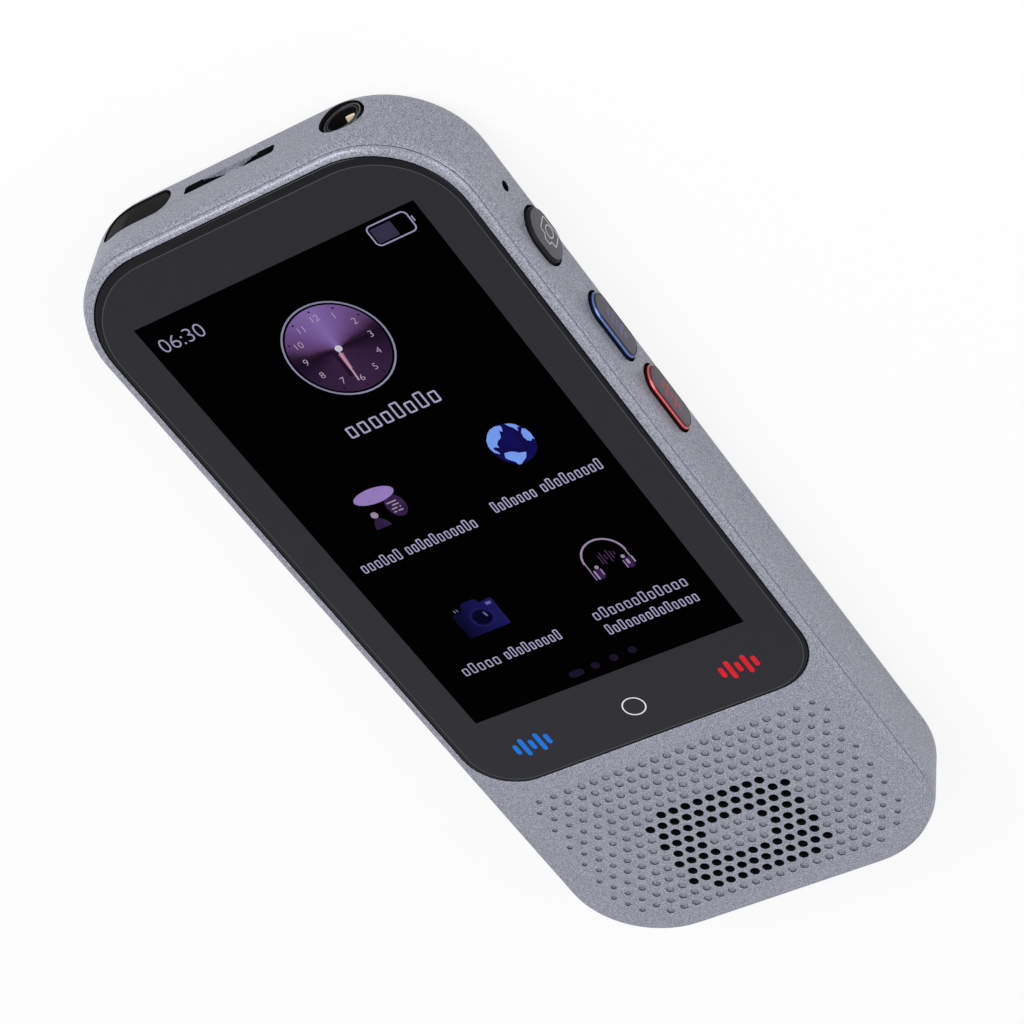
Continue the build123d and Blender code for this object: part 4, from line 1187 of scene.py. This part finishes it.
scene = bpy.context.scene
floor_mesh = bpy.data.meshes.new("floor")
floor_reach = 3000.0
floor_gap = 0.3                         # between the flat back's edge and the floor's
opening = body_loop(back_edge_radius + floor_gap, 0)
border = rounded_loop(floor_reach, -floor_reach, floor_reach, 1.0, 1.0, 0)
count = len(opening)
floor_mesh.from_pydata([Vector(point) * MM for point in opening + border], [], [
    (step, count + step, count + (step + 1) % count, (step + 1) % count)
    for step in range(count)
])
pale, surface, inputs = new_material("pale_floor")
inputs["Roughness"].default_value = 0.9
inputs["Specular IOR Level"].default_value = 0.0
seen = surface.add("ShaderNodeLightPath", out="Is Camera Ray")
mirrored = surface.add("ShaderNodeLightPath", out="Is Glossy Ray")
seen.math("MAXIMUM", mirrored).blend((0.55, 0.55, 0.555), (0.9, 0.9, 0.9)).feed(
    inputs["Base Color"]
)
upper = 1.0 - surface.add("ShaderNodeNewGeometry", out="Backfacing")
upper.feed(inputs["Alpha"])
floor_nodes = pale.node_tree.nodes
surface.add("ShaderNodeMixShader", {}, {
    0: (seen * 0.85 + mirrored * 0.35) * upper,
    1: Node(pale.node_tree, floor_nodes["Principled BSDF"].outputs[0]),
    2: surface.add("ShaderNodeEmission", {}, {"Color": (1, 1, 1, 1), "Strength": 1.0}),
}).feed(floor_nodes["Material Output"].inputs[0])
floor = new_piece("floor", floor_mesh, pale)

world = bpy.data.worlds.new("surround")
world.use_nodes = True
scene.world = world
air = Node(world.node_tree)
direct = air.add("ShaderNodeLightPath", out="Is Camera Ray")
for other in ("Is Glossy Ray", "Is Transmission Ray"):
    direct = direct.math("MAXIMUM", air.add("ShaderNodeLightPath", out=other))
background = world.node_tree.nodes["Background"]
background.inputs["Color"].default_value = (1, 1, 1, 1)
(direct * 0.45 + 0.55).feed(background.inputs["Strength"])


def lamp(name, place, target, width, power):
    data = bpy.data.lights.new(name, "AREA")
    data.shape = "DISK"
    data.size = width
    data.energy = power
    light = bpy.data.objects.new(name, data)
    scene.collection.objects.link(light)
    light.location = place
    turn = (Vector(target) - Vector(place)).to_track_quat("-Z", "Y")
    light.rotation_euler = turn.to_euler()


lamp("key_light", (-0.2, 0.6, 0.5), (0, 0, 0), 0.4, 3.2)
lamp("fill_light", (0.65, 0.0, 0.35), (0, 0, 0), 0.6, 2.4)

scene.view_settings.view_transform = "Standard"
picture_width = 1024
focal_pixels = 3297.6
sensor_width = 36
right = Vector((0.8328, -0.5425, -0.1103))
down = Vector((-0.3434, -0.6626, 0.6656))
ahead = Vector((-0.4342, -0.5164, -0.7381))
# a point on the front, and how far to the right, below and ahead of the camera it lies
aim = Vector((0, 8.974, front_level))
sight = Vector((-2.94, 1.876, 380.695))
eye = aim - right * sight.x - down * sight.y - ahead * sight.z
camera_data = bpy.data.cameras.new("camera")
camera_data.sensor_width = sensor_width
camera_data.lens = focal_pixels / picture_width * sensor_width
camera_data.clip_start = 0.01
camera = bpy.data.objects.new("camera", camera_data)
scene.collection.objects.link(camera)
back = -ahead.normalized()
upward = back.cross(right).normalized()
turn = Matrix((upward.cross(back), upward, back)).transposed()
camera.matrix_world = Matrix.Translation(eye * MM) @ turn.to_4x4()
scene.camera = camera
